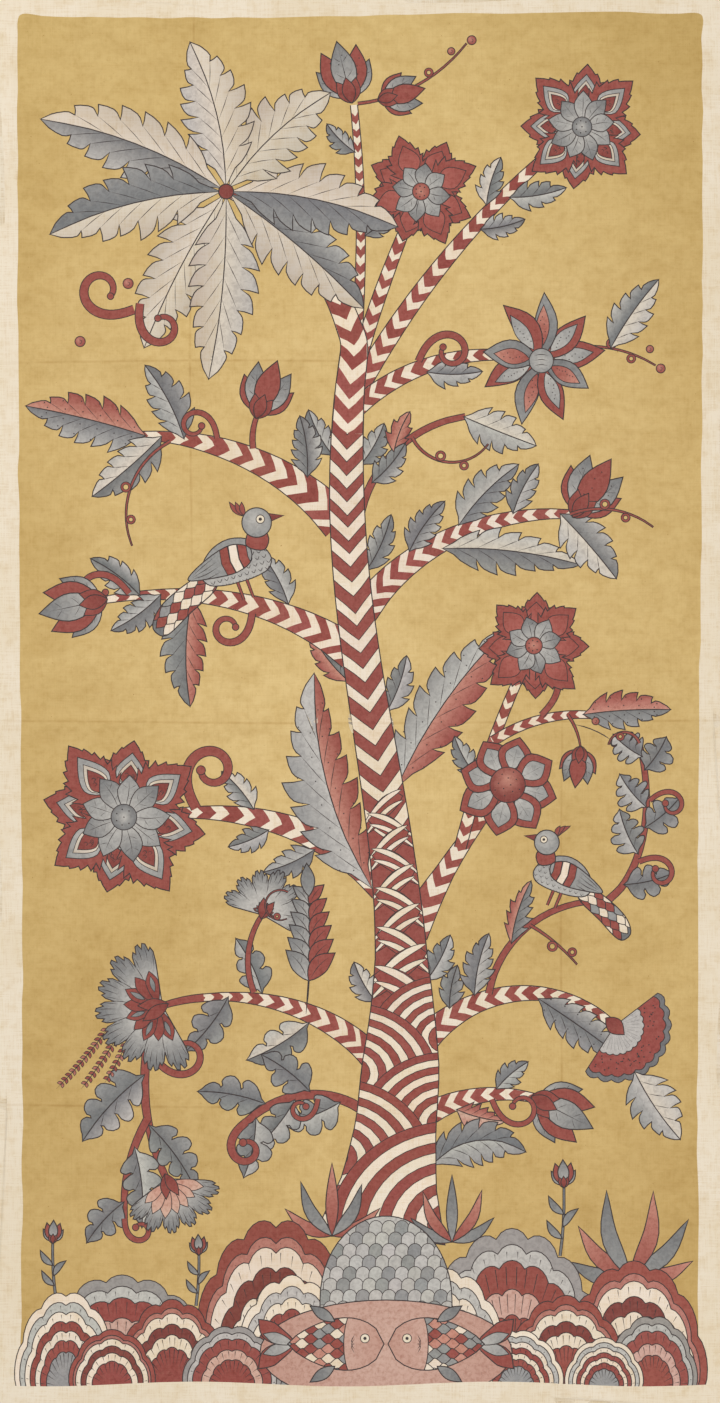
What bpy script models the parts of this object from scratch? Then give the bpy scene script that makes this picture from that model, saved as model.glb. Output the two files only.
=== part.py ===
"""A painted cotton panel lying face up on a flat surface.

Metres, +Z up. The panel's width runs along X, its height along Y (its top edge at +Y),
and its painted face looks up. The origin is the middle of its footprint, on the surface.
The cloth is one sheet. Where it lies flat its underside is at Z = 0, and along its old
fold lines, at a few soft puckers and at parts of its edges it rises in low hollow ridges.
"""

import math

import bmesh
import bpy

WIDTH = 1.160           # across, selvedge to selvedge
HEIGHT = 2.245          # top edge to bottom edge
THICK = 0.0012          # the cloth with its starch and dye, as a solid
EDGE_WANDER = 0.0016    # how far the cut and selvedge edges run in and out
COLUMN = 0.044          # the widest spacing of the sheet's own lines across
ROW = 0.050             # and down

# The creases left by folding the panel for storage. A fold that runs "across" is at a
# height y and runs between two values of x, and one that runs "down" the other way round.
# rise: height of the ridge; half: half its width; wander: how far it strays from straight.
FOLDS = [
    dict(name="upper_quarter", runs="across", at=0.5370, start=-0.600, end=0.300, rise=0.0016, half=0.022, wander=0.003),
    dict(name="half",          runs="across", at=-0.0325, start=-0.620, end=0.620, rise=0.0030, half=0.026, wander=0.002),
    dict(name="lower_quarter", runs="across", at=-0.6390, start=-0.640, end=0.250, rise=0.0020, half=0.024, wander=0.003),
    dict(name="right_third",   runs="down",   at=0.3200, start=-1.180, end=0.020, rise=0.0026, half=0.024, wander=0.002),
    dict(name="left_third",    runs="down",   at=-0.2660, start=0.180, end=1.180, rise=0.0014, half=0.022, wander=0.003),
]

# Soft puckers between the folds: x, y of the middle, rise, reach along and across, and
# the direction that the longer reach runs in, in degrees from +X.
PUCKERS = [
    dict(x=0.300, y=0.905, rise=0.0014, long=0.190, short=0.055, turn=24),
    dict(x=-0.420, y=0.270, rise=0.0012, long=0.120, short=0.060, turn=-62),
    dict(x=0.455, y=0.250, rise=0.0016, long=0.150, short=0.060, turn=78),
    dict(x=-0.330, y=-0.345, rise=0.0010, long=0.160, short=0.055, turn=8),
    dict(x=0.460, y=-0.700, rise=0.0016, long=0.170, short=0.060, turn=-68),
    dict(x=-0.420, y=-0.860, rise=0.0014, long=0.140, short=0.060, turn=-12),
]

# Stretches of edge that don't lie quite down: which edge, where its middle is along that
# edge, how far the lift runs each way along it, how far it reaches in, and its rise.
LIFTS = [
    dict(edge="left",   middle=0.860,  run=0.200, reach=0.060, rise=0.0026),
    dict(edge="left",   middle=-0.260, run=0.260, reach=0.050, rise=0.0020),
    dict(edge="right",  middle=0.420,  run=0.230, reach=0.055, rise=0.0024),
    dict(edge="right",  middle=-0.520, run=0.210, reach=0.050, rise=0.0022),
    dict(edge="top",    middle=0.180,  run=0.240, reach=0.055, rise=0.0024),
    dict(edge="bottom", middle=-0.160, run=0.260, reach=0.055, rise=0.0026),
    dict(edge="bottom", middle=0.400,  run=0.120, reach=0.050, rise=0.0018),
]


def swell(d):
    """1 at d = 0, falling smoothly to exactly 0 at d = 1 and beyond."""
    return (1 - d * d) ** 2 if abs(d) < 1 else 0.0


def fold_height(fold, x, y):
    along, off = (x, y) if fold["runs"] == "across" else (y, x)
    off -= fold["at"] + fold["wander"] * math.sin(5.3 * along + 40 * fold["at"])
    if abs(off) >= fold["half"] or not fold["start"] < along < fold["end"]:
        return 0.0
    end = min(along - fold["start"], fold["end"] - along) / 0.10
    fade = 1.0 if end >= 1 else end * end * (3 - 2 * end)
    uneven = 0.82 + 0.18 * math.sin(9.1 * along + 17 * fold["half"] * 1000)
    return fold["rise"] * fade * uneven * swell(off / fold["half"])


def pucker_height(p, x, y):
    a = math.radians(p["turn"])
    dx, dy = x - p["x"], y - p["y"]
    u = (dx * math.cos(a) + dy * math.sin(a)) / p["long"]
    v = (dy * math.cos(a) - dx * math.sin(a)) / p["short"]
    return p["rise"] * swell(math.hypot(u, v))


def lift_height(lift, x, y):
    inward, along = {
        "left": (x + WIDTH / 2, y), "right": (WIDTH / 2 - x, y),
        "top": (HEIGHT / 2 - y, x), "bottom": (y + HEIGHT / 2, x),
    }[lift["edge"]]
    return (lift["rise"] * swell(max(0.0, inward) / lift["reach"])
            * swell((along - lift["middle"]) / lift["run"]))


def height(x, y):
    """How far the underside is above the surface at this place."""
    return (sum(fold_height(f, x, y) for f in FOLDS)
            + sum(pucker_height(p, x, y) for p in PUCKERS)
            + sum(lift_height(e, x, y) for e in LIFTS))


def lines(size, spacing, runs):
    """Grid lines over one side: even, with closer ones over the folds that cross it."""
    half = size / 2
    n = math.ceil(size / spacing)
    even = [-half + size * i / n for i in range(n + 1)]
    folds = [f for f in FOLDS if f["runs"] == runs]
    kept = [v for v in even
            if abs(abs(v) - half) < 1e-9 or all(abs(v - f["at"]) > f["half"] + spacing * 0.35 for f in folds)]
    close = [f["at"] + f["half"] * k for f in folds for k in (-1.15, -0.6, -0.25, 0.0, 0.25, 0.6, 1.15)]
    return sorted(kept + close)


def edge_wander(t, phase):
    """How far an edge runs in at the place t along it, always inwards."""
    return EDGE_WANDER * (0.5 - 0.3 * math.cos(5.1 * t + phase) - 0.2 * math.cos(13.7 * t + 2 * phase))


def place(x, y):
    """Where a point of the even grid lies once the edges wander in."""
    sx = 1 - (edge_wander(y, 0.4) if x < 0 else edge_wander(y, 2.1)) / (WIDTH / 2)
    sy = 1 - (edge_wander(x, 1.3) if y < 0 else edge_wander(x, 3.3)) / (HEIGHT / 2)
    return x * sx, y * sy


def main():
    for obj in list(bpy.data.objects):
        bpy.data.objects.remove(obj)

    xs = lines(WIDTH, COLUMN, "down")
    ys = lines(HEIGHT, ROW, "across")
    flat = [[place(x, y) for x in xs] for y in ys]
    every = [p for row in flat for p in row]
    mid_x = (min(p[0] for p in every) + max(p[0] for p in every)) / 2
    mid_y = (min(p[1] for p in every) + max(p[1] for p in every)) / 2

    bm = bmesh.new()
    layers = []
    for thickness in (0.0, THICK):
        layers.append([[bm.verts.new((x - mid_x, y - mid_y, height(x, y) + thickness)) for x, y in row]
                       for row in flat])
    under, over = layers
    for j in range(len(ys) - 1):
        for i in range(len(xs) - 1):
            bm.faces.new((over[j][i], over[j][i + 1], over[j + 1][i + 1], over[j + 1][i]))
            bm.faces.new((under[j][i], under[j + 1][i], under[j + 1][i + 1], under[j][i + 1]))

    def rim(top, bottom):
        for k in range(len(top) - 1):
            bm.faces.new((top[k + 1], top[k], bottom[k], bottom[k + 1]))

    rim(over[0], under[0])
    rim(over[-1][::-1], under[-1][::-1])
    rim([r[0] for r in over][::-1], [r[0] for r in under][::-1])
    rim([r[-1] for r in over], [r[-1] for r in under])
    bmesh.ops.recalc_face_normals(bm, faces=bm.faces)

    mesh = bpy.data.meshes.new("painted_cloth")
    bm.to_mesh(mesh)
    bm.free()
    panel = bpy.data.objects.new("painted_cloth", mesh)
    bpy.context.scene.collection.objects.link(panel)
    mesh.shade_smooth()
    mesh.set_sharp_from_angle(angle=math.radians(35))

    cotton = bpy.data.materials.new("dyed_cotton")
    cotton.use_nodes = True
    shader = cotton.node_tree.nodes["Principled BSDF"]
    shader.inputs["Base Color"].default_value = (0.60, 0.40, 0.155, 1)
    shader.inputs["Roughness"].default_value = 0.92
    shader.inputs["Metallic"].default_value = 0.0
    mesh.materials.append(cotton)


main()
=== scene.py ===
import math
import random

import bpy
import mathutils
import numpy as np
from mathutils.geometry import delaunay_2d_cdt
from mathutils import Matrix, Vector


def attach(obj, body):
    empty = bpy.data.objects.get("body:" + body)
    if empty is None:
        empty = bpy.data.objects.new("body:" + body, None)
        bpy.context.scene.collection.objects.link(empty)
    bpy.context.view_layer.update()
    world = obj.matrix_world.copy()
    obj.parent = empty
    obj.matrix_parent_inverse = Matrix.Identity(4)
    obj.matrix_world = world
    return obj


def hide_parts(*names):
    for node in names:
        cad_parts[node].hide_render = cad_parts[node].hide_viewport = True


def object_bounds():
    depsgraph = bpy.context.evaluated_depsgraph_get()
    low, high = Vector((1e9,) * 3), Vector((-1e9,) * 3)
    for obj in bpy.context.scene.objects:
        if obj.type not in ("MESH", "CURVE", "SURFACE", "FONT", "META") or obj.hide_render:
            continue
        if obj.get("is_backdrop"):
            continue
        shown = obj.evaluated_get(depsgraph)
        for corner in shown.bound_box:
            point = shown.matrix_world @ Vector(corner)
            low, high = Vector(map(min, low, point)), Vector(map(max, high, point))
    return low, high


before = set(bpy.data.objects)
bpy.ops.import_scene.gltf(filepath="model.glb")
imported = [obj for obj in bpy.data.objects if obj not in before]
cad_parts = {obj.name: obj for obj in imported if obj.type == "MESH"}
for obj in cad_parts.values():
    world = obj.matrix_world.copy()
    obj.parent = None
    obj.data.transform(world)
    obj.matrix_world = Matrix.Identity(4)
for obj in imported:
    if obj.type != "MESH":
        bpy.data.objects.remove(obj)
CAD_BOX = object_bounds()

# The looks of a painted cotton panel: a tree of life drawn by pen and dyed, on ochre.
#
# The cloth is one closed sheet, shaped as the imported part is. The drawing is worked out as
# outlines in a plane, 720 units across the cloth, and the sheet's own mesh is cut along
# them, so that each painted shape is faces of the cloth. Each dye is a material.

# ---------------------------------------------------------------------------------------
# Drawing. Everything painted on the cloth is drawn here as closed outlines, back to front,
# in drawing units: x to the right and y down from the painting's top left corner.
# ---------------------------------------------------------------------------------------
PEN = 1.15               # width of an outline drawn with the reed pen
FINE = 0.75              # width of a vein
HATCH = 0.6              # width of a hatching stroke

# Dyes, as sRGB 0 to 255.
INK = (52, 44, 44)
CREAM = (234, 221, 199)
OCHRE = (222, 193, 133)
MADDER = (150, 76, 67)
MADDER_DEEP = (128, 60, 54)
PINK = (198, 140, 122)
PINK_PALE = (212, 178, 158)
GREY = (150, 149, 146)
GREY_DEEP = (117, 117, 117)
GREY_PALE = (190, 186, 179)
LEAF = (216, 204, 187)
LEAF_SHADE = (194, 182, 168)
STRIPE = (236, 221, 202)

DYES = ("bare_cotton", "ochre_dye", "madder_dye", "indigo_dye", "pen_ink")
COTTON, YELLOW, RED, BLUE, BLACK = range(5)

ITEMS = []               # (loop, dye, colour, clip) back to front
RNG = random.Random(1907)


def arr(p):
    return np.asarray(p, float).reshape(-1, 2)


def area(p):
    x, y = p[:, 0], p[:, 1]
    return 0.5 * float(np.sum(x * np.roll(y, -1) - np.roll(x, -1) * y))


def tidy(p, tol=0.05):
    """Drop repeated points, and turn the loop the positive way."""
    d = np.hypot(*(p - np.roll(p, 1, 0)).T)
    p = p[d > tol]
    return p if len(p) < 3 or area(p) > 0 else p[::-1]


def thin(p, tol=0.10, far=18.0):
    """Drop the points that a line hardly bends at."""
    n = len(p)
    if n < 4:
        return p
    d = np.diff(p, axis=0)
    ang = np.arctan2(d[:, 1], d[:, 0])
    length = np.hypot(d[:, 0], d[:, 1])
    turn = np.abs((np.diff(ang) + math.pi) % (2 * math.pi) - math.pi)
    keep = [0]
    a = s = 0.0
    for i in range(1, n - 1):
        s += length[i - 1]
        t = turn[i - 1]
        if (a + t) * (s + length[i]) > 8 * tol or s + length[i] > far or t > 0.6:
            keep.append(i)
            a = s = 0.0
        else:
            a += t
    keep.append(n - 1)
    return p[keep]


def smooth(pts, step=2.2, closed=False, tol=0.10):
    """A smooth line through the points."""
    p = arr(pts)
    if len(p) < 3 and not closed:
        return p
    if closed:
        q = np.vstack([p[-1:], p, p[:2]])
    else:
        q = np.vstack([2 * p[:1] - p[1:2], p, 2 * p[-1:] - p[-2:-1]])
    out = []
    for i in range(1, len(q) - 2):
        a, b, c, d = q[i - 1], q[i], q[i + 1], q[i + 2]
        n = max(2, int(math.hypot(*(c - b)) / step + 0.999))
        t = (np.arange(n) / n)[:, None]
        # A centripetal line keeps short spans next to long ones from looping.
        ab, bc, cd = (max(1e-6, math.hypot(*(v - u))) ** 0.5 for u, v in ((a, b), (b, c), (c, d)))
        m1 = bc * ((b - a) / ab - (c - a) / (ab + bc) + (c - b) / bc)
        m2 = bc * ((c - b) / bc - (d - b) / (bc + cd) + (d - c) / cd)
        out.append((2 * t**3 - 3 * t**2 + 1) * b + (t**3 - 2 * t**2 + t) * m1
                   + (3 * t**2 - 2 * t**3) * c + (t**3 - t**2) * m2)
    if not closed:
        out.append(p[-1:])
    line = np.vstack(out)
    return thin(line, tol) if not closed else thin(np.vstack([line, line[:1]]), tol)[:-1]


def corners(parts, closed=True, tol=0.10):
    """Smooth stretches joined at sharp corners: each part is a list of points."""
    out = []
    for part in parts:
        line = smooth(part, tol=tol)
        out.append(line if not out else line[1:] if np.allclose(out[-1][-1], line[0]) else line)
    p = np.vstack(out)
    return p


def grow(loop, d):
    """The loop moved outwards by d (inwards when d is negative)."""
    p = tidy(arr(loop))
    if len(p) < 3:
        return p
    e1 = p - np.roll(p, 1, 0)
    e2 = np.roll(p, -1, 0) - p
    e1 /= np.hypot(*e1.T)[:, None]
    e2 /= np.hypot(*e2.T)[:, None]
    n1 = np.stack([e1[:, 1], -e1[:, 0]], 1)
    n2 = np.stack([e2[:, 1], -e2[:, 0]], 1)
    m = n1 + n2
    size = np.hypot(*m.T)
    m = np.where(size[:, None] > 1e-6, m / np.maximum(size, 1e-6)[:, None], n1)
    k = 1 / np.maximum(0.5, np.sum(m * n1, 1))
    dd = d if np.ndim(d) == 0 else np.asarray(d)
    return p + m * (k * dd)[:, None]


class Spine:
    """A smooth line that can be asked for points beside it: t is 0 to 1 along, r to its left."""

    def __init__(self, pts, step=1.2):
        p = smooth(pts, step, tol=0.01)
        if len(p) == 2:
            p = p[0] + (p[1] - p[0]) * np.linspace(0, 1, 9)[:, None]
        d = np.diff(p, axis=0)
        s = np.concatenate([[0], np.cumsum(np.hypot(*d.T))])
        self.length = float(s[-1])
        self.s = s / self.length
        self.p = p
        tan = np.gradient(p, self.s, axis=0)
        tan /= np.hypot(*tan.T)[:, None]
        self.tan = tan

    def at(self, t, r=0.0):
        t = np.atleast_1d(np.asarray(t, float))
        r = np.broadcast_to(np.asarray(r, float), t.shape)
        x = np.interp(t, self.s, self.p[:, 0])
        y = np.interp(t, self.s, self.p[:, 1])
        u = np.interp(t, self.s, self.tan[:, 0])
        v = np.interp(t, self.s, self.tan[:, 1])
        size = np.hypot(u, v) + 1e-9
        u, v = u / size, v / size
        past = np.where(t > 1, t - 1, np.where(t < 0, t, 0)) * self.length
        return np.stack([x + past * u + r * v, y + past * v - r * u], 1)

    def turn(self, t):
        t = min(max(t, 0), 1)
        return math.atan2(np.interp(t, self.s, self.tan[:, 1]), np.interp(t, self.s, self.tan[:, 0]))


def jig(c, amount=5):
    """A colour a little off, as no two brushfuls are the same."""
    k = RNG.uniform(-amount, amount)
    return tuple(min(255, max(0, v + k + RNG.uniform(-1.5, 1.5))) for v in c)


def flat(c):
    c = np.array(c, float)
    return lambda x, y: np.broadcast_to(c, (len(x), 3))


def lin(p0, p1, c0, c1):
    """One dye running into another from p0 to p1."""
    c0, c1 = np.array(c0, float), np.array(c1, float)
    dx, dy = p1[0] - p0[0], p1[1] - p0[1]
    q = dx * dx + dy * dy + 1e-9

    def f(x, y):
        t = np.clip(((x - p0[0]) * dx + (y - p0[1]) * dy) / q, 0, 1)[:, None]
        return c0 + (c1 - c0) * t
    return f


def rad(c, r0, r1, c0, c1):
    """One dye running into another outwards from a middle."""
    c0, c1 = np.array(c0, float), np.array(c1, float)

    def f(x, y):
        t = np.clip((np.hypot(x - c[0], y - c[1]) - r0) / (r1 - r0), 0, 1)[:, None]
        return c0 + (c1 - c0) * t
    return f


def add(loop, dye, colour, clip=None):
    p = tidy(arr(loop))
    if len(p) < 3 or abs(area(p)) < 0.02:
        return
    ITEMS.append((p, dye, colour if callable(colour) else flat(colour), clip))


def shape(loop, dye, colour, pen=PEN, clip=None, line=INK):
    """A filled shape with a pen line round it."""
    p = tidy(arr(loop))
    if pen:
        add(grow(p, pen * 0.5), BLACK, line, clip)
        add(grow(p, -pen * 0.5), dye, colour, clip)
    else:
        add(p, dye, colour, clip)


def ribbon(pts, width, step=2.2, taper=(0.0, 0.0), tol=0.08):
    """The outline of a line with a width, which may run from one width to another."""
    s = Spine(pts)
    w = np.atleast_1d(np.asarray(width, float))
    n = max(3, int(s.length / step) + 1)
    c = thin(s.at(np.linspace(0, 1, n * 2)), tol)
    # Find each kept point's place along the line again.
    seg = np.concatenate([[0], np.cumsum(np.hypot(*np.diff(c, axis=0).T))])
    t = seg / seg[-1]
    half = np.interp(t, np.linspace(0, 1, len(w)), w) / 2 if len(w) > 1 else np.full(len(t), w[0] / 2)
    if taper[0]:
        half = half * np.clip((t + 0.004) / taper[0], 0.08, 1)
    if taper[1]:
        half = half * np.clip((1.004 - t) / taper[1], 0.08, 1)
    return np.vstack([s.at(t, half), s.at(t, -half)[::-1]])


def stroke(pts, width=FINE, taper=(0.12, 0.3), colour=INK, clip=None):
    """A free pen line."""
    p = arr(pts)
    if len(p) < 2 or math.hypot(*(p[-1] - p[0])) < 0.3 and len(p) < 3:
        return
    add(ribbon(p, width, taper=taper), BLACK, colour, clip)


def dot(x, y, r=0.8, colour=INK, dye=BLACK, n=6, clip=None):
    a = np.arange(n) * 2 * math.pi / n + RNG.uniform(0, 1)
    add(np.stack([x + r * np.cos(a), y + r * np.sin(a)], 1), dye, colour, clip)


def disc(x, y, r, n=None):
    n = n or max(10, int(r * 1.6) + 8)
    a = np.arange(n) * 2 * math.pi / n
    return np.stack([x + r * np.cos(a), y + r * np.sin(a)], 1)


def tube(pts, width, dye=RED, colour=MADDER, pen=0.8, line=INK, ends=(0.0, 0.0)):
    """A stem: a line with a width and a pen line down each side."""
    w = np.atleast_1d(np.asarray(width, float))
    add(ribbon(pts, w + pen, taper=ends), BLACK, line)
    add(ribbon(pts, np.maximum(0.25, w - pen), taper=ends), dye, colour)


def spiral(cx, cy, r, start, turns, side=1, inner=0.22, n=18):
    """Points winding in to a middle, from the angle start (degrees)."""
    out = []
    for i in range(int(n * turns) + 1):
        t = i / (n * turns)
        a = math.radians(start) + side * t * turns * 2 * math.pi
        q = r * (1 - (1 - inner) * t)
        out.append((cx + q * math.cos(a), cy + q * math.sin(a)))
    return out


def striped(pts, width, pitch=None, depth=0.5, share=0.55, red=MADDER, pale=STRIPE, back=1, start=0.0):
    """A branch painted with chevrons."""
    s = Spine(pts)
    w = np.atleast_1d(np.asarray(width, float))
    add(ribbon(pts, w + 1.2), BLACK, INK)
    wid = lambda t: np.interp(t, np.linspace(0, 1, len(w)), w) if len(w) > 1 else np.full(np.shape(t), w[0])
    add(ribbon(pts, np.maximum(0.4, w - 1.0)), COTTON, jig(pale, 3))
    t = start
    mid = float(np.mean(w))
    while t < 1:
        here = float(wid(np.array(min(t, 1.0))))
        gap = (pitch or max(7.0, 1.05 * mid)) * RNG.uniform(0.88, 1.14)
        on = gap * share * RNG.uniform(0.88, 1.12)
        v = np.array([-1, -0.45, 0, 0.5, 1])
        lean = depth * here * (1 - np.abs(v)) * back + np.array([RNG.uniform(-0.6, 0.6) for _ in v])
        a = t + lean / s.length
        b = a + on / s.length + np.array([RNG.uniform(-0.4, 0.4) for _ in v]) / s.length
        a, b = np.clip(a, 0, 1), np.clip(b, 0, 1)
        ra, rb = v * (wid(a) - 1.0) / 2, v * (wid(b) - 1.0) / 2
        add(np.vstack([s.at(a, ra), s.at(b, rb)[::-1]]), RED, jig(red, 6))
        t += gap / s.length


# Leaves -----------------------------------------------------------------------------------
def blade(t, full=0.42):
    """How wide a leaf is along its length: widest at full."""
    t = np.clip(np.asarray(t, float), 0, 1)
    k = math.log(0.5) / math.log(full)
    return np.maximum(0, np.sin(math.pi * t**k)) ** 0.8


def pointed(t, full=0.5):
    """How wide a petal is along its length: round at the base and drawn out to a point."""
    t = np.clip(np.asarray(t, float), 0, 1)
    low = np.sin(math.pi / 2 * np.minimum(1, t / full)) ** 0.8
    v = np.clip((t - full) / (1 - full), 0, 1)
    return np.where(t < full, low, (1 - v**1.7) ** 1.1)


TEETH = {
    # along (in teeth), out (share of the blade's half width); the first point is the notch
    "feather": [(0.0, 0.62), (0.30, 0.93), (0.72, 1.08), (1.10, 1.16), (1.02, 0.86)],
    "jagged": [(0.0, 0.66), (0.45, 0.92), (1.05, 1.22), (0.98, 0.90)],
    "oak": [(0.0, 0.42), (0.10, 0.72), (0.42, 1.10), (0.80, 1.12), (0.98, 0.82), (0.92, 0.55)],
    "fringe": [(0.0, 0.88), (0.55, 0.98), (1.10, 1.15)],
    "fine": [(0.0, 0.80), (0.55, 0.95), (1.05, 1.12)],
    "wave": [(0.0, 0.82), (0.3, 0.98), (0.7, 0.98)],
}


def side_line(spine, half, side, n, kind, t0=0.10, t1=0.93, full=0.42, wild=0.10, blade=blade):
    """One edge of a leaf, base to tip, and where its notches are."""
    teeth = TEETH[kind]
    edge, notches = [], []
    spans = np.linspace(0, 1, n + 1) ** 0.92
    ts = t0 + (t1 - t0) * spans
    for i in range(n):
        step = ts[i + 1] - ts[i]
        big = RNG.uniform(1 - wild, 1 + wild)
        for k, (along, out) in enumerate(teeth):
            t = ts[i] + along * step
            r = out * big if k else out
            w = float(blade(min(t, 0.985), full)) * half * r
            if i == n - 1 and k == len(teeth) - 1:
                continue
            edge.append((t, w * side))
        notches.append((ts[i], float(blade(ts[i], full)) * half * teeth[0][1] * side))
    return edge, notches


def leaf(path, half, n=6, kind="feather", left=None, right=None, veins=True, dots=0, full=0.42, pen=PEN,
         t0=0.08, t1=0.94, hatch=0, midrib=1.0, slant=0.10):
    """A leaf along a midrib. half, n and the dyes may differ from side to side; each of
    left and right is (dye, colour by the midrib, colour at the edge)."""
    s = Spine(path)
    halves = half if isinstance(half, (tuple, list)) else (half, half)
    ns = n if isinstance(n, (tuple, list)) else (n, n)
    left = left or (BLUE, GREY_DEEP, GREY_PALE)
    right = right or left
    for side, h, cnt, look in ((1, halves[0], ns[0], left), (-1, halves[1], ns[1], right)):
        if h <= 0:
            continue
        edge, notches = side_line(s, h, side, cnt, kind, t0, t1, full)
        e = np.array(edge)
        outline = s.at(e[:, 0], e[:, 1])
        base, tip = s.at(0.0)[0], s.at(1.0)[0]
        # Teeth are rounded a little except at their points.
        rim = [base]
        per = len(TEETH[kind])
        for i in range(0, len(outline), per):
            tooth = outline[i:i + per]
            if kind == "feather":
                tooth = np.vstack([smooth(tooth[:4], 3.0, tol=0.16), tooth[4:]])
            elif kind == "oak":
                tooth = smooth(tooth, 2.4, tol=0.14)
            rim.append(tooth)
        rim = np.vstack([np.atleast_2d(q) for q in rim] + [tip[None]])
        mid = s.at(np.linspace(1, 0, 9))
        loop = np.vstack([rim, mid[1:-1]])
        dye, c_in, c_out = look
        c_in, c_out = jig(c_in, 4), jig(c_out, 4)
        m = s.at(0.45)[0]
        o = s.at(0.45, side * h)[0]
        add(grow(loop, pen * 0.5), BLACK, INK)
        add(grow(loop, -pen * 0.5) if pen else loop, dye, lin(m, o, c_in, c_out))
        if veins:
            for t, w in notches[1:] if kind != "fine" else notches[1::1]:
                tb = max(0.02, t - slant - 0.05)
                stroke(s.at([tb, (tb + t) / 2 + 0.01, t], [0, w * 0.55, w]), FINE if kind != "fine" else HATCH,
                       taper=(0.25, 0.25))
        if dots:
            gap = (t1 - t0) / max(1, cnt)
            for i in range(cnt):
                tm = t0 + gap * (i + 0.55)
                wm = float(blade(tm, full)) * h * side
                for k in range(dots if abs(wm) > 0.38 * h else 0):
                    q = s.at(tm - slant * 0.5 + 0.03 * k, wm * (0.3 + 0.5 * k / max(1, dots - 1) if dots > 1 else 0.5))[0]
                    dot(q[0], q[1], 0.75)
        if hatch:
            # Fine strokes out from the midrib.
            for i in range(hatch):
                t = 0.12 + 0.78 * (i + RNG.random()) / hatch
                wm = float(blade(t, full)) * h * side * RNG.uniform(0.25, 0.5)
                stroke(s.at([t, t + 0.03, t + 0.05], [0, wm * 0.6, wm]), HATCH, taper=(0.1, 0.6))
    if midrib:
        stroke(s.at(np.linspace(0, 0.985, 8)), midrib, taper=(0.06, 0.5))
    return s


def petal(base, tip, half, bend=0.0, full=0.5, dye=RED, c0=MADDER, c1=MADDER, pen=PEN, point=True, fringe=0, veins=0,
          dots=0, curl=0.0, clip=None):
    """A petal from base to tip."""
    b, t = np.array(base, float), np.array(tip, float)
    d = t - b
    nrm = np.array([d[1], -d[0]])
    s = Spine([b, b + d * 0.5 + nrm * bend, t])
    if fringe:
        loop = []
        for side in (1, -1):
            edge, _ = side_line(s, half, side, fringe, "fringe", 0.04, 0.96, full, 0.05, pointed)
            e = np.array(edge)
            q = s.at(e[:, 0], e[:, 1])
            loop.append(q if side == 1 else q[::-1])
        loop = np.vstack([b[None], loop[0], t[None], loop[1]])
    else:
        u = np.linspace(0, 1, 10 if half > 5 else 8)
        w = (pointed if point else blade)(u, full) * half
        if not point:
            w = np.where(u > 0.5, np.sqrt(np.clip(1 - (np.maximum(0, u - 0.5) / 0.5) ** 2.4, 0, 1)) * half, w)
        loop = np.vstack([s.at(u, w), s.at(u[::-1], -w[::-1])])
        if not point:
            loop = thin(np.vstack([loop, loop[:1]]), 0.06)[:-1]
    shape(loop, dye, lin(b, t, c0, c1), pen, clip)
    if veins:
        stroke(s.at(np.linspace(0.06, 0.86, 5)), FINE, taper=(0.1, 0.5), clip=clip)
        for i in range(veins):
            tt = 0.18 + 0.58 * (i + 0.5) / veins
            for side in (1, -1):
                wm = float(blade(tt + 0.08, full)) * half * side * 0.72
                stroke(s.at([tt, tt + 0.07, tt + 0.13], [0, wm * 0.6, wm]), HATCH, taper=(0.1, 0.5), clip=clip)
    for i in range(dots):
        tt = 0.22 + 0.6 * (i + 0.5) / dots
        q = s.at(tt, half * RNG.uniform(-0.3, 0.3))[0]
        dot(q[0], q[1], 0.7, clip=clip)
    return s


def ring(cx, cy, n, r, start=0.0, wobble=0.0):
    """Directions and points spaced round a middle."""
    for i in range(n):
        a = math.radians(start) + 2 * math.pi * i / n + RNG.uniform(-wobble, wobble)
        yield a, (cx + r * math.cos(a), cy + r * math.sin(a))


def towards(cx, cy, a, r):
    return (cx + r * math.cos(a), cy + r * math.sin(a))


def loops_on(points, r=4.0, width=2.0, colour=MADDER):
    """Little rings that hang on a tendril."""
    for p in points:
        x, y = p[0], p[1]
        q = p[2] if len(p) > 2 else r
        add(disc(x, y, q + 0.4), BLACK, INK)
        add(disc(x, y, q - 0.4), RED, colour)
        add(disc(x, y, q - width + 0.3), BLACK, INK)
        add(disc(x, y, max(0.5, q - width - 0.4)), YELLOW, OCHRE)


def berry(x, y, r, light=True):
    shape(disc(x, y, r), RED, rad((x - r * 0.2, y - r * 0.2), 0, r, PINK if light else MADDER, MADDER), 0.9)
    if r > 3:
        stroke([(x - r * 0.3, y - r * 0.35), (x + r * 0.3, y - r * 0.15), (x + r * 0.1, y + r * 0.45), (x - r * 0.3, y + r * 0.2)],
               0.6, taper=(0.2, 0.2))


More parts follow.
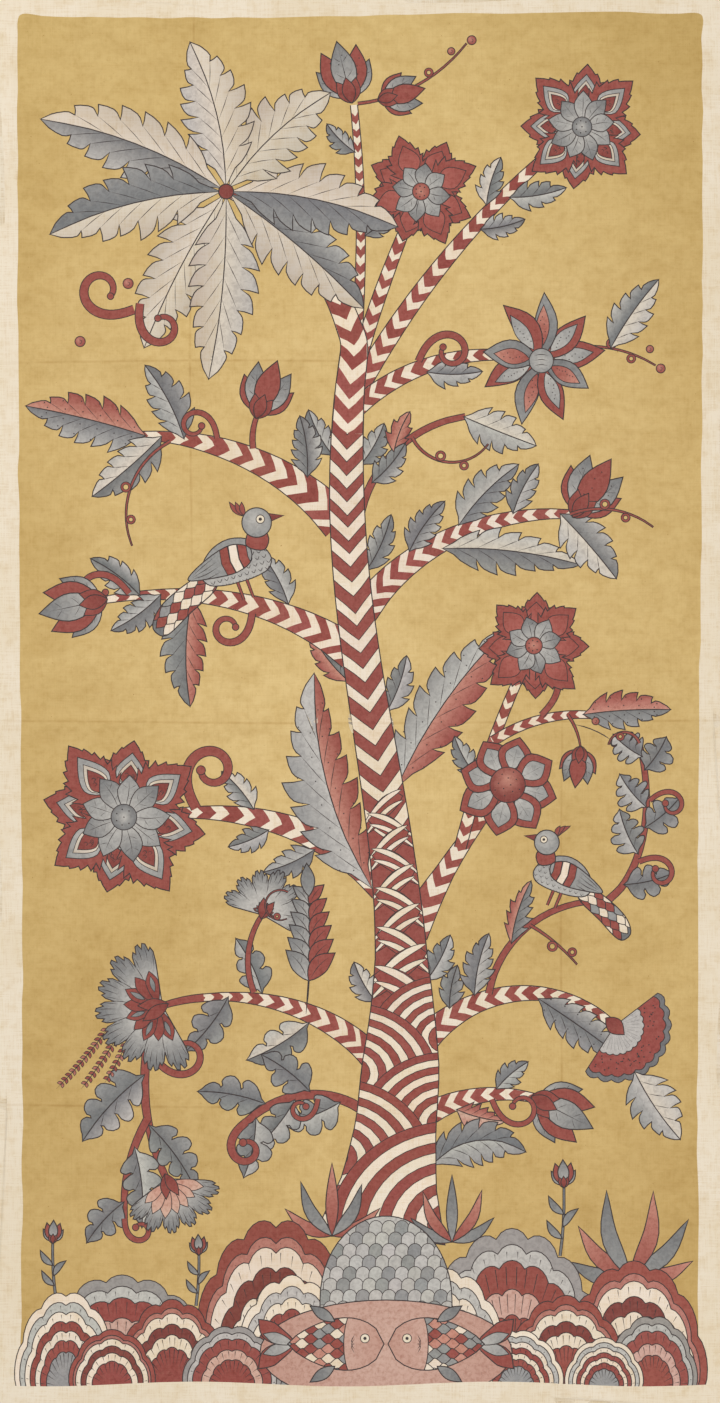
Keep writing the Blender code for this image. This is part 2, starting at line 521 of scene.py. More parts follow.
def fan(cx, cy, a0, a1, r, lobes=6, nibs=4, inner=0.58, c_in=MADDER, c_out=GREY, rays=8, depth=0.22, hatch=True,
        ray_dye=(RED, MADDER, MADDER_DEEP), slits=True, edge=GREY_DEEP, aspect=1.0, turn=0.0):
    """A flower seen from the side: scalloped lobes opening from a0 to a1 (degrees)."""
    def at(a, q):
        x, y = q * math.cos(a), q * math.sin(a) * aspect
        return (cx + x * math.cos(turn) - y * math.sin(turn), cy + x * math.sin(turn) + y * math.cos(turn))

    a0, a1 = math.radians(a0), math.radians(a1)
    rim, nib = [], []
    for i in range(lobes):
        b0, b1 = a0 + (a1 - a0) * i / lobes, a0 + (a1 - a0) * (i + 1) / lobes
        big = RNG.uniform(0.9, 1.06)
        for j in range(nibs):
            for u, k in ((0.02, 0.93), (0.3, 1.02), (0.7, 1.02)):
                v = (j + u) / nibs
                q = r * big * (1 - depth * abs(2 * v - 1) ** 2.2) * k
                rim.append(at(b0 + (b1 - b0) * v, q))
            v = (j + 0.5) / nibs
            nib.append((b0 + (b1 - b0) * v, r * big * (1 - depth * abs(2 * v - 1) ** 2.2)))
        rim.append(at(b1, r * big * (1 - depth) * 0.9))
    centre = [at((a0 + a1) / 2 + math.pi, r * 0.06)]
    loop = arr(centre + rim)
    add(grow(loop, PEN * 0.5), BLACK, INK)
    add(grow(loop, -PEN * 0.5), BLUE, rad((cx, cy), r * 0.45, r * 0.98, GREY_PALE, c_out))
    for i in range(1, lobes):
        a = a0 + (a1 - a0) * i / lobes
        stroke([at(a, r * 0.4), at(a + 0.02, r * 0.6), at(a, r * 0.74)], FINE)
    if hatch:
        for a, q in nib:
            stroke([at(a, q * 0.98), at(a + 0.01, q * 0.86), at(a, q * RNG.uniform(0.66, 0.76))], 0.9, taper=(0.05, 0.7))
            stroke([at(a + 0.035, q * 0.95), at(a + 0.03, q * RNG.uniform(0.78, 0.84))], 0.7, taper=(0.05, 0.7))
    for i in range(rays):
        a = a0 + (a1 - a0) * (i + 0.5) / rays
        q = r * inner * RNG.uniform(0.88, 1.08)
        petal(at(a, r * 0.05), at(a, q), max(1.2, q * abs(a1 - a0) / rays * 0.42), full=0.66, dye=ray_dye[0],
              c0=ray_dye[2], c1=ray_dye[1], pen=0.8)
        if slits and i % 2 == 0:
            petal(at(a, q * 0.42), at(a, q * 0.86), max(0.9, q * abs(a1 - a0) / rays * 0.16), dye=BLUE, c0=GREY_DEEP,
                  c1=GREY, pen=0.6)


def poly(pts, dye=RED, colour=MADDER, pen=PEN, clip=None):
    """A free shape given by its corners, already smooth enough."""
    shape(arr(pts), dye, colour, pen, clip)


def soft(pts, dye=RED, colour=MADDER, pen=PEN, clip=None):
    """A free shape with rounded corners."""
    shape(smooth(pts, closed=True), dye, colour, pen, clip)


def curl(pts, width, end=2.6, colour=MADDER, dye=RED):
    """A tendril that thickens to a rolled end. The points run from its stem to its end."""
    w = np.atleast_1d(np.asarray(width, float))
    tube(pts, w, dye, colour, pen=0.9, ends=(0.0, 0.0))
    if end:
        x, y = pts[-1]
        add(disc(x, y, end + 0.45), BLACK, INK)
        add(disc(x, y, end - 0.45), dye, colour)


def dashes(x0, y0, x1, y1, n, clip, size=3.4, lean=0.4):
    for _ in range(n):
        x, y = RNG.uniform(x0, x1), RNG.uniform(y0, y1)
        d = RNG.uniform(-lean, lean)
        stroke([(x, y), (x + d * size, y + size)], 1.0, taper=(0.2, 0.2), clip=clip)


def tear(base, tip, half, bend=0.0):
    """The eye of a petal: a pale drop with a dark red heart."""
    b, t = np.array(base, float), np.array(tip, float)
    petal(b, t, half, bend, 0.36, BLUE, GREY_PALE, GREY, pen=0.9)
    petal(b + (t - b) * 0.05, b + (t - b) * 0.80, half * 0.72, bend, 0.34, COTTON, STRIPE, LEAF_SHADE, pen=0.7)
    petal(b + (t - b) * 0.06, b + (t - b) * 0.66, half * 0.55, bend, 0.36, RED, MADDER, MADDER_DEEP, pen=0.8)
    m, h = b + (t - b) * 0.34, half * 0.35
    for k in range(4):
        a = RNG.uniform(0, 6.28)
        x, y = m[0] + h * 0.6 * math.cos(a), m[1] + h * 0.6 * math.sin(a)
        stroke([(x - h * 0.4, y), (x, y - h * 0.35), (x + h * 0.4, y), (x, y + h * 0.35)], 0.55, taper=(0.1, 0.1))


def scales(origin, along, across, rows, cols, size, dyes, clip=None, shrink=1.0):
    """Overlapping feathers or fish scales, far rows first."""
    ux, uy = along
    vx, vy = across
    for i in range(rows - 1, -1, -1):
        for j in range(cols):
            off = j - (cols - 1) / 2 + (0.5 if i % 2 else 0.0)
            x = origin[0] + ux * i + vx * off
            y = origin[1] + uy * i + vy * off
            n = math.hypot(ux, uy)
            tip = (x + ux / n * size * 1.25, y + uy / n * size * 1.25)
            dye, c = dyes[RNG.randrange(len(dyes))]
            petal((x - ux / n * size * 0.6, y - uy / n * size * 0.6), tip, math.hypot(vx, vy) * 0.56, 0, 0.55, dye, jig(c), jig(c), pen=0.9,
                  clip=clip, point=True)


# The design ---------------------------------------------------------------------------------
# A tree of life in the kalamkari manner: a banded trunk that splits into chevroned boughs, a
# palm crown, sawn and rolled flowers, two birds, and scalloped rocks with two fish. Each
# line is worked out from where it starts, where it heads (degrees, 0 to the right and 90 up
# the cloth), how long it is and how far it turns.
G2L = (BLUE, GREY_DEEP, GREY)
G2P = (BLUE, GREY_DEEP, GREY_PALE)
P2G = (BLUE, GREY_PALE, GREY)
L2L = (COTTON, LEAF, LEAF_SHADE)
L2G = (BLUE, LEAF, GREY_PALE)
P2M = (RED, PINK, MADDER)
P2P = (RED, PINK_PALE, PINK)
DARK = (126, 62, 55)
BLUSH = (203, 165, 149)


def off(p, heading, r):
    a = math.radians(heading)
    return (p[0] + r * math.cos(a), p[1] - r * math.sin(a))


def walk(p, heading, length, turn=0.0, n=9, late=1.0):
    """Points along a line that turns as it goes; late puts more of the turn near its end."""
    out = [(float(p[0]), float(p[1]))]
    for i in range(n - 1):
        t = (i + 0.5) / (n - 1)
        out.append(off(out[-1], heading + turn * t**late, length / (n - 1)))
    return out


def heading_at(path, t):
    return -math.degrees(Spine(path).turn(t))


def on(path, t, r=0.0):
    return tuple(Spine(path).at(t, r)[0])


def sprig(p, heading, length, turn=0.0, half=12, n=5, kind="feather", left=G2L, right=None, **more):
    return leaf(walk(p, heading, length, turn, 5), half, n, kind, left, right, hatch=9 if length > 80 else 0, **more)


def sprout(path, t, side, length, half, n=5, kind="feather", left=G2L, right=None, angle=46, turn=-22, base=0.0, **more):
    """A leaf that grows from a stem, to its left (1) or its right (-1)."""
    p = on(path, t, side * base)
    return sprig(p, heading_at(path, t) + side * angle, length, side * turn, half, n, kind, left, right, **more)


def scroll(p, heading, length, turn, width=6.0, end=3.4):
    """A shoot that rolls up at its end."""
    curl(walk(p, heading, length, turn, n=24, late=1.75), [width, width * 1.05, width * 0.9, width * 0.6], end)


def tendril(p, heading, length, turn, rings=(), width=2.4, ring=5.2):
    path = walk(p, heading, length, turn, n=12)
    curl(path, [width * 1.3, width, width * 0.6], 0)
    for k, (t, side) in enumerate(rings):
        x, y = on(path, t, side * ring * 0.9)
        loops_on([(x, y, ring * (1 - 0.12 * k))], width=2.4)
    return path


# Flowers ------------------------------------------------------------------------------------
def star(c, r, n=8, start=12, inner=8, drops=True, teeth=6, core=RED):
    """Sawn red petals, each with a drop in it, round a ring of grey ones."""
    cx, cy = c
    order = list(range(0, n, 2)) + list(range(1, n, 2))
    for i in order:
        a = math.radians(start + 360 * i / n + RNG.uniform(-4, 4))
        q = r * (RNG.uniform(0.96, 1.05) if i % 2 else RNG.uniform(0.88, 0.97))
        half = r * math.sin(math.pi / n) * 0.80
        petal(towards(cx, cy, a, r * 0.12), towards(cx, cy, a, q), half, RNG.uniform(-0.05, 0.05), 0.46, RED, MADDER, MADDER, fringe=teeth)
        if drops:
            tear(towards(cx, cy, a, r * 0.34), towards(cx, cy, a, q * 0.84), half * 0.60)
        else:
            petal(towards(cx, cy, a, r * 0.3), towards(cx, cy, a, q * 0.82), half * 0.62, 0, 0.46, RED, (176, 98, 88), MADDER, pen=0.8)
    for i in range(inner):
        a = math.radians(start + 8 + 360 * (i + 0.5) / inner)
        petal(towards(cx, cy, a, r * 0.08), towards(cx, cy, a, r * RNG.uniform(0.49, 0.55)), r * 0.56 * math.sin(math.pi / inner) * 0.62 + 1.2,
              RNG.uniform(-0.06, 0.06), 0.55, BLUE, GREY_PALE, GREY_DEEP if i % 2 else GREY, pen=0.95, veins=2 if r > 50 else 1)
    m = r * 0.15
    shape(disc(cx, cy, m), core, rad(c, 0, m, PINK if core == RED else GREY_PALE, MADDER if core == RED else GREY_DEEP), 0.9)
    for k in range(7):
        x, y = towards(cx, cy, k * 0.9, m * 0.62 if k else 0)
        dot(x, y, 0.8)


def daisy(c, r, n=8, start=0, boss=0.34):
    """Round red petals with a grey leaf in each, round a boss."""
    cx, cy = c
    for i in range(n):
        a = math.radians(start + 360 * i / n + RNG.uniform(-4, 4))
        q = r * RNG.uniform(0.93, 1.05)
        half = r * math.sin(math.pi / n) * 0.86
        petal(towards(cx, cy, a, r * 0.14), towards(cx, cy, a, q), half, 0, 0.58, RED, MADDER, MADDER)
        petal(towards(cx, cy, a, r * 0.3), towards(cx, cy, a, q * 0.84), half * 0.58, 0, 0.58, BLUE, GREY_PALE, GREY, pen=0.8, veins=1)
    shape(disc(cx, cy, r * boss), RED, rad((cx, cy - r * 0.1), 0, r * boss, PINK, MADDER_DEEP), 0.95)
    for k in range(11):
        x, y = towards(cx, cy, k * 2.4, r * boss * 0.82 * math.sqrt((k + 0.5) / 11))
        dot(x, y, 0.75)


def lily(c, r, n=9, start=-20):
    """Long petals, red and grey by turns, each with a dotted leaf in it."""
    cx, cy = c
    for i in range(n):
        k = (i * 4) % n
        a = math.radians(start + 360 * k / n + RNG.uniform(-5, 5))
        q = r * RNG.uniform(0.84, 1.08)
        half = r * 0.20 * RNG.uniform(0.9, 1.12)
        outer, inside = ((BLUE, GREY_DEEP, GREY), (RED, MADDER, PINK)) if k % 2 else ((RED, MADDER, MADDER), (BLUE, GREY_PALE, GREY))
        petal(towards(cx, cy, a, 3), towards(cx, cy, a, q), half, RNG.uniform(-0.1, 0.1), 0.5, *outer)
        b, t = towards(cx, cy, a, q * 0.2), towards(cx, cy, a, q * 0.82)
        petal(b, t, half * 0.56, 0, 0.5, *inside, pen=0.85)
        line = Spine([b, ((b[0] + t[0]) / 2, (b[1] + t[1]) / 2), t])
        for j in range(7):
            x, y = line.at(0.2 + 0.6 * j / 7, RNG.uniform(-0.25, 0.25) * half)[0]
            dot(x, y, 0.66, n=5)
    shape(disc(cx, cy, r * 0.19), BLUE, rad(c, 0, r * 0.19, GREY_PALE, GREY), 0.95)
    for k in (-0.5, 0.0, 0.5):
        stroke([(cx - r * 0.11, cy + k * r * 0.16), (cx, cy + k * r * 0.16 - 1.2), (cx + r * 0.11, cy + k * r * 0.16)], FINE)


def bud(p, heading, size, warm=True, spots=False):
    """Folded petals out of a red cup."""
    a, b = (RED, BLUE) if warm else (BLUE, RED)
    tone = lambda d: (MADDER, MADDER) if d == RED else (GREY_PALE, GREY_DEEP)
    for turn, long, wide, dye in ((-38, 0.74, 0.15, b), (38, 0.74, 0.15, b), (-19, 0.92, 0.19, a), (19, 0.92, 0.19, a), (0, 1.0, 0.21, b)):
        c0, c1 = tone(dye)
        petal(off(p, heading + turn, size * 0.05), off(p, heading + turn, size * long), size * wide, 0.04 * (turn > 0) - 0.04 * (turn < 0), 0.5, dye, c0, c1,
              veins=2 if dye == BLUE and size > 34 else 0, dots=4 if spots else 0)
    for turn in (-26, 26, 0):
        petal(off(p, heading + 180, size * 0.06), off(p, heading + turn, size * 0.38), size * 0.11, 0, 0.5, RED, MADDER_DEEP, MADDER, pen=0.95)


def carnation(c, heading, r, spread=150, lobes=6, inside=0.6, pale=False):
    """A scalloped flower seen from the side."""
    a0, a1 = -heading - spread / 2, -heading + spread / 2
    if pale:
        fan(c[0], c[1], a0, a1, r, lobes, 4, inside, c_out=GREY_DEEP, rays=7, ray_dye=(RED, PINK_PALE, PINK), slits=False)
    else:
        fan(c[0], c[1], a0, a1, r, lobes, 4, inside, c_out=GREY_DEEP, rays=9)
    petal(off(c, heading + 180, r * 0.16), off(c, heading - 22, r * 0.34), r * 0.10, 0, 0.5, RED, MADDER_DEEP, MADDER, pen=0.9)
    petal(off(c, heading + 180, r * 0.16), off(c, heading + 22, r * 0.34), r * 0.10, 0, 0.5, RED, MADDER_DEEP, MADDER, pen=0.9)


def tassel(p, heading, length, turn, size=5.2):
    """A hanging stalk of small red leaves."""
    path = walk(p, heading, length, turn, 7)
    stroke(path, 0.9, taper=(0.05, 0.1))
    n = int(length / 6.4)
    for i in range(n):
        t = 0.06 + 0.9 * i / n
        h = heading_at(path, t)
        for side in (1, -1):
            q = on(path, t)
            petal(q, off(q, h + side * 42, size * (1.3 - 0.3 * t)), size * 0.30, 0, 0.55, RED, MADDER, PINK if i % 3 == 0 else MADDER, pen=0.7)
    return path


# The tree -----------------------------------------------------------------------------------
FOOT, CROWN = 1236.0, 344.0     # where the trunk starts and where it splits, down the cloth


def trunk_line(t):
    return (380 + 25 * math.sin(2 * math.pi * (0.88 * t + 0.01)) - 10 * t, FOOT + (CROWN - FOOT) * t)


TRUNK = [trunk_line(i / 16) for i in range(17)]
GIRTH = [128, 94, 80, 78, 64, 52, 47, 44, 42, 40, 38, 37, 36, 35, 33, 30, 25]


def girth(t):
    return float(np.interp(t, np.linspace(0, 1, len(GIRTH)), GIRTH))


def trunk():
    whole = ribbon(TRUNK, GIRTH, step=5)
    shape(whole, RED, flat(jig(MADDER, 2)), PEN)
    clip = grow(whole, -PEN / 2)
    s = Spine(TRUNK)
    split = 0.46
    # The upper length: chevrons, points down.
    t = 0.93
    while t > split + 0.02:
        w = girth(t)
        v = np.array([-1, -0.5, 0, 0.5, 1])
        drop = (0.52 * w * (1 - np.abs(v)) + np.array([RNG.uniform(-0.7, 0.7) for _ in v])) / s.length
        deep = RNG.uniform(0.34, 0.42) * w / s.length
        loop = np.vstack([s.at(t - drop, v * w * 0.5), s.at(t - drop - deep, v * w * 0.5)[::-1]])
        shape(loop, COTTON, jig(STRIPE, 3), 0.8, clip)
        t -= RNG.uniform(0.74, 0.86) * w / s.length
    # The plait: strips that cross from one side and then the other, each over the last.
    side, t = 1, split
    while t > 0.215:
        w = girth(t)
        rise = 0.62 * w / s.length
        u = np.linspace(0, 1, 9)
        for lift, thick, dye, c in ((0.0, 0.50, RED, MADDER), (0.15, 0.15, COTTON, STRIPE), (-0.10, 0.13, COTTON, STRIPE)):
            mid = t + (lift * w + 0.10 * w * np.sin(math.pi * u)) / s.length + rise * u
            half = thick * w * 0.5 * np.sin(math.pi * np.clip(u * 0.9 + 0.1, 0, 1)) ** 0.6 / s.length
            r = side * w * (0.495 - 0.93 * u)
            shape(np.vstack([s.at(mid + half, r), s.at(mid - half, r)[::-1]]), dye, jig(c, 4), 0.8, clip)
        side = -side
        t -= RNG.uniform(0.40, 0.47) * w / s.length
    # The foot: sweeps of rings, each laid over the one above it.
    side, t = -1, 0.225
    while t > -0.02:
        w = girth(t)
        c = s.at(t, side * w * 0.60)[0]
        big = w * RNG.uniform(1.02, 1.12)
        n = 10
        for k in range(n):
            q = big * (1 - k / n)
            dye, colour = (RED, MADDER) if k % 2 == 0 else (COTTON, STRIPE)
            a = np.linspace(0, 2 * math.pi, max(18, int(q / 2)), endpoint=False)
            loop = np.stack([c[0] + q * np.cos(a), c[1] + q * 0.92 * np.sin(a) + 0.12 * q], 1)
            shape(loop, dye, jig(colour, 4), 0.8, clip)
        side = -side
        t -= 0.56 * w / s.length


def bough(t, side, heading, length, turn, widths, late=1.0, pitch=None, share=0.56):
    """A chevroned bough out of the trunk. Returns its line."""
    p = on(TRUNK, t, -side * girth(t) * 0.22)
    path = walk(p, heading, length, turn, 10, late)
    striped(path, widths, pitch=pitch, depth=0.5, share=share, back=-1)
    return path


CROWN_STEM = walk(trunk_line(1.0), 104, 206, 52, 12)


def crown_stem():
    """The trunk runs on into the palm's stem without a break."""
    striped([trunk_line(0.90), trunk_line(0.95)] + CROWN_STEM, [31, 29, 27, 24, 21, 17, 13, 9], pitch=26, depth=0.5, share=0.55, back=-1)


def palm():
    """The crown: long fronds that droop, pale or half grey by turns."""
    c = CROWN_STEM[-1]
    n = 8
    fronds = []
    for i in range(n):
        h = 6 + 360 * i / n + (5 if i % 2 else -5)
        down = math.sin(math.radians(h)) < -0.1
        length = (172, 140, 150, 196, 178, 172, 184, 176)[i]
        sag = -26 if math.cos(math.radians(h)) > 0 else 26
        looks = ((L2L, G2L), (L2L, L2L), (L2G, L2L), (G2P, L2L))[i % 4]
        fronds.append((down, h, length, sag * (0.5 if down else 1.0), looks))
    for down, h, length, sag, (a, b) in sorted(fronds, key=lambda f: f[0], reverse=True):
        sprig(off(c, h, 5), h, length, sag, (30, 31), 7, "feather", a, b, full=0.46, slant=0.12, t0=0.12)
    shape(disc(c[0], c[1], 7.5), RED, rad(c, 0, 8, MADDER, MADDER_DEEP))
    # Hanging shoots and nuts.
    scroll((c[0] - 92, c[1] + 118), 200, 118, -330, 9)
    scroll((c[0] - 86, c[1] + 112), 262, 96, 310, 8)
    for dx, dy in ((-146, 150), (-98, 92)):
        berry(c[0] + dx, c[1] + dy, 5.2)


def upper_right():
    a = walk(on(TRUNK, 0.935, -2), 62, 362, -24, 10)
    striped(a, [20, 19, 17, 15, 13, 11, 8], pitch=21, depth=0.5, share=0.56, back=-1)
    b = walk(on(TRUNK, 0.965, -3), 74, 196, -8, 9)
    striped(b, [16, 14, 13, 11, 9], pitch=19, depth=0.5, share=0.56, back=-1)
    c = walk(on(TRUNK, 0.975, -2), 84, 262, 12, 10)
    striped(c, [11, 10, 9, 8, 7], pitch=15, depth=0.5, share=0.55, back=-1)
    d = walk(on(TRUNK, 0.925, -4), 44, 204, -58, 9)
    striped(d, [19, 17, 14, 11, 8], pitch=19, depth=0.5, share=0.56, back=-1)
    # Leaves off them.
    sprout(a, 0.72, -1, 58, (13, 12), 4, left=G2L, right=P2G, base=5)
    sprout(a, 0.60, -1, 46, (11, 11), 4, left=G2P, base=6)
    sprout(a, 0.66, 1, 50, (12, 12), 4, left=L2G, right=G2L, base=6, angle=38)
    sprout(c, 0.58, 1, 58, (13, 13), 5, "jagged", left=P2M, right=P2P, angle=72, base=4)
    sprout(c, 0.50, -1, 40, (10, 10), 4, left=G2L, angle=58, base=4)
    sprout(c, 0.82, 1, 40, (10, 9), 4, left=G2L, right=P2G, angle=52, base=3)
    sprout(d, 0.42, -1, 56, (13, 12), 4, left=G2P, right=P2G, angle=30, base=6)
    scroll(on(d, 0.40, 7), heading_at(d, 0.4) + 46, 112, -372, 7)
    q = tendril(on(d, 0.96), 26, 128, -58, ((0.62, 1), (0.80, -1)))
    sprig(on(q, 0.62), 62, 84, -14, (18, 17), 5, left=G2P, right=L2G)
    berry(on(q, 1.0)[0] + 5, on(q, 1.0)[1] + 3, 4.6)
    berry(on(q, 0.86)[0] + 10, on(q, 0.86)[1] - 8, 3.8)
    star(on(b, 1.0), 58, 8, 24, 8, drops=False)
    star(on(a, 1.0), 66, 8, 4, 9, core=BLUE)
    lily(on(d, 1.0), 64, 9, -8)
    end = c[-1]
    bud(off(end, 118, 6), 104, 60, spots=True)
    e = tendril(off(end, 20, 4), 6, 128, 46, ((0.36, -1), (0.62, 1)))
    bud(on(e, 0.18), 14, 46, warm=False)
    berry(e[-1][0] + 5, e[-1][1] - 3, 4.6)
    berry(on(e, 0.82)[0], on(e, 0.82)[1] - 9, 3.8)


def left_boughs():
    a = bough(0.80, -1, 130, 226, 50, [38, 33, 28, 23, 18, 12, 8], late=0.9)
    b = bough(0.655, -1, 140, 262, 50, [34, 28, 22, 17, 13, 9, 7], late=0.8)
    c = bough(0.395, -1, 134, 236, 52, [38, 32, 27, 22, 18, 13, 9], late=0.85)
    d = bough(0.185, -1, 124, 206, 62, [28, 24, 21, 17, 13, 9, 7], late=0.8)
    # The first: a pair of long leaves at its end, a bud above it.
    sprout(a, 0.97, -1, 124, (24, 22), 6, left=G2P, right=P2M, angle=16, turn=-8, dots=2)
    sprout(b, 0.30, -1, 56, (13, 13), 4, left=G2L, right=P2G, angle=52, base=12)
    sprout(a, 0.90, 1, 92, (19, 18), 5, left=G2L, right=L2G, angle=50, turn=-10)
    sprout(a, 0.80, -1, 84, (17, 18), 5, left=P2G, right=G2L, angle=64)
    sprout(a, 0.24, -1, 62, (14, 14), 5, left=G2L, right=G2P, angle=58, base=12)
    q = tube_stem(on(a, 0.50, -10), 98, 34, -30)
    bud(q[-1], heading_at(q, 1), 58, warm=False)
    scroll(on(a, 0.66, -8), 100, 84, 350, 5.4)
    tendril(on(a, 0.86, 4), 208, 122, 84, ((0.52, -1), (0.78, 1)))
    # The second: a bird on it, a hanging pair of leaves, a bud at its end.
    sprout(b, 0.66, 1, 112, (18, 22), 6, left=P2M, right=G2L, angle=82, turn=22)
    sprout(b, 0.78, 1, 62, (14, 13), 5, left=G2L, right=P2G, angle=46)
    sprout(b, 0.86, -1, 62, (14, 14), 4, left=G2P, angle=52)
    scroll(on(b, 0.42, 8), 262, 92, -348, 7)
    scroll(on(b, 0.90, -3), 128, 104, 330, 6.4)
    bud(on(b, 1.0), heading_at(b, 1) + 4, 66)
    # The third: the great flower, and a long dotted leaf that stands by the trunk.
    sprout(c, 0.34, 1, 56, (13, 13), 4, left=G2L, right=P2G, angle=60, base=12)
    sprout(c, 0.64, -1, 50, (12, 12), 4, left=G2P, right=L2G, angle=50, base=8)
    sprout(c, 0.56, 1, 44, (11, 11), 4, left=P2G, right=G2L, angle=48, base=9)
    scroll(on(c, 0.88, -4), 118, 142, -388, 10, 4.6)
    sprig(on(TRUNK, 0.392, 24), 122, 226, -34, (36, 25), (8, 7), "feather", (BLUE, GREY_PALE, GREY), P2M, dots=2, full=0.44, t0=0.10)
    # The fourth: rolled flowers, and a stem that hangs.
    sprout(d, 0.86, 1, 70, (16, 16), 3, "oak", left=G2L, angle=64)
    sprout(d, 0.70, -1, 62, (15, 15), 3, "oak", left=P2G, right=G2L, angle=66, base=6)
    q = tube_stem(on(d, 0.74, -6), 112, 84, -58)
    carnation(q[-1], heading_at(q, 1) + 10, 44, 205, 7, 0.24)
    sprout(d, 0.44, 1, 74, (17, 15), 3, "oak", left=G2L, right=L2G, angle=66, base=8)
    e = tube_stem(on(d, 0.98), heading_at(d, 1), 46, 16, 8)
    f = tube_stem(off(e[-1], 250, 22), 256, 158, 40, 9)
    g = tube_stem(on(f, 0.58), 240, 104, 34, 8)
    sprout(f, 0.30, -1, 92, (22, 22), 4, "oak", left=G2P, right=G2L, angle=52)
    sprout(f, 0.62, 1, 82, (17, 17), 4, "oak", left=G2L, angle=36)
    sprout(g, 0.30, 1, 82, (19, 18), 4, "oak", left=P2G, right=G2L, angle=36)
    sprout(g, 0.84, -1, 56, (16, 15), 3, "oak", left=G2L, angle=52)
    scroll(g[-1], heading_at(g, 1), 62, 330, 5.6)
    scroll(on(f, 0.14, 3), 300, 112, 340, 7)
    carnation(f[-1], heading_at(f, 1) - 6, 52, 150, 6, 0.66, pale=True)
    for k in range(3):
        tassel(off(e[-1], 200 + 12 * k, 52 - 6 * k), 236 + 6 * k, 84 - 14 * k, -12)
    carnation(e[-1], heading_at(e, 1), 62, 210, 8, 0.58)
    # Low down: a rolled shoot with oak leaves, and a spray that stands between the boughs.
    m = tube_stem(on(TRUNK, 0.135, 30), 140, 132, 84, 10, 0.9)
    for t, side, long in ((0.22, 1, 62), (0.46, -1, 62), (0.58, 1, 66), (0.80, -1, 70), (0.92, 1, 62)):
        sprout(m, t, side, long, (17, 16), 3, "oak", left=(G2L, P2G)[side > 0], right=G2L, angle=50, base=3)
    scroll(m[-1], heading_at(m, 1), 88, 350, 8, 4)
    scroll(on(m, 0.40, 4), 262, 62, -330, 5)
    spray((306, 1014), 84, 128, 10)
    tendril((288, 892), 150, 62, 236, ((0.82, 1),), width=1.4, ring=3.6)
    star(off(c[-1], heading_at(c, 1), 44), 86, 8, 10, 9, teeth=8, core=BLUE)
    return b


def spray(p, heading, length, turn):
    """A stalk with a grey leaf to one side and a red one to the other, all the way up."""
    path = walk(p, heading, length, turn, 8)
    stroke(path, 2.0, taper=(0.02, 0.2))
    n = 6
    for i in range(n - 1, -1, -1):
        t = 0.26 + 0.72 * i / n
        h, q = heading_at(path, t), on(path, t)
        long = length * (0.30 - 0.022 * i)
        petal(q, off(q, h + 40, long), long * 0.24, -0.08, 0.5, BLUE, GREY_PALE, GREY_DEEP, veins=1)
        petal(q, off(q, h - 40, long), long * 0.24, 0.08, 0.5, RED, MADDER, MADDER, veins=1)
    petal(on(path, 0.92), off(path[-1], heading + turn, length * 0.18), length * 0.055, 0, 0.5, BLUE, GREY, GREY_DEEP)


def tube_stem(p, heading, length, turn, width=6.0, late=1.0):
    path = walk(p, heading, length, turn, 9, late)
    tube(path, [width, width * 0.9, width * 0.75], pen=0.9)
    return path


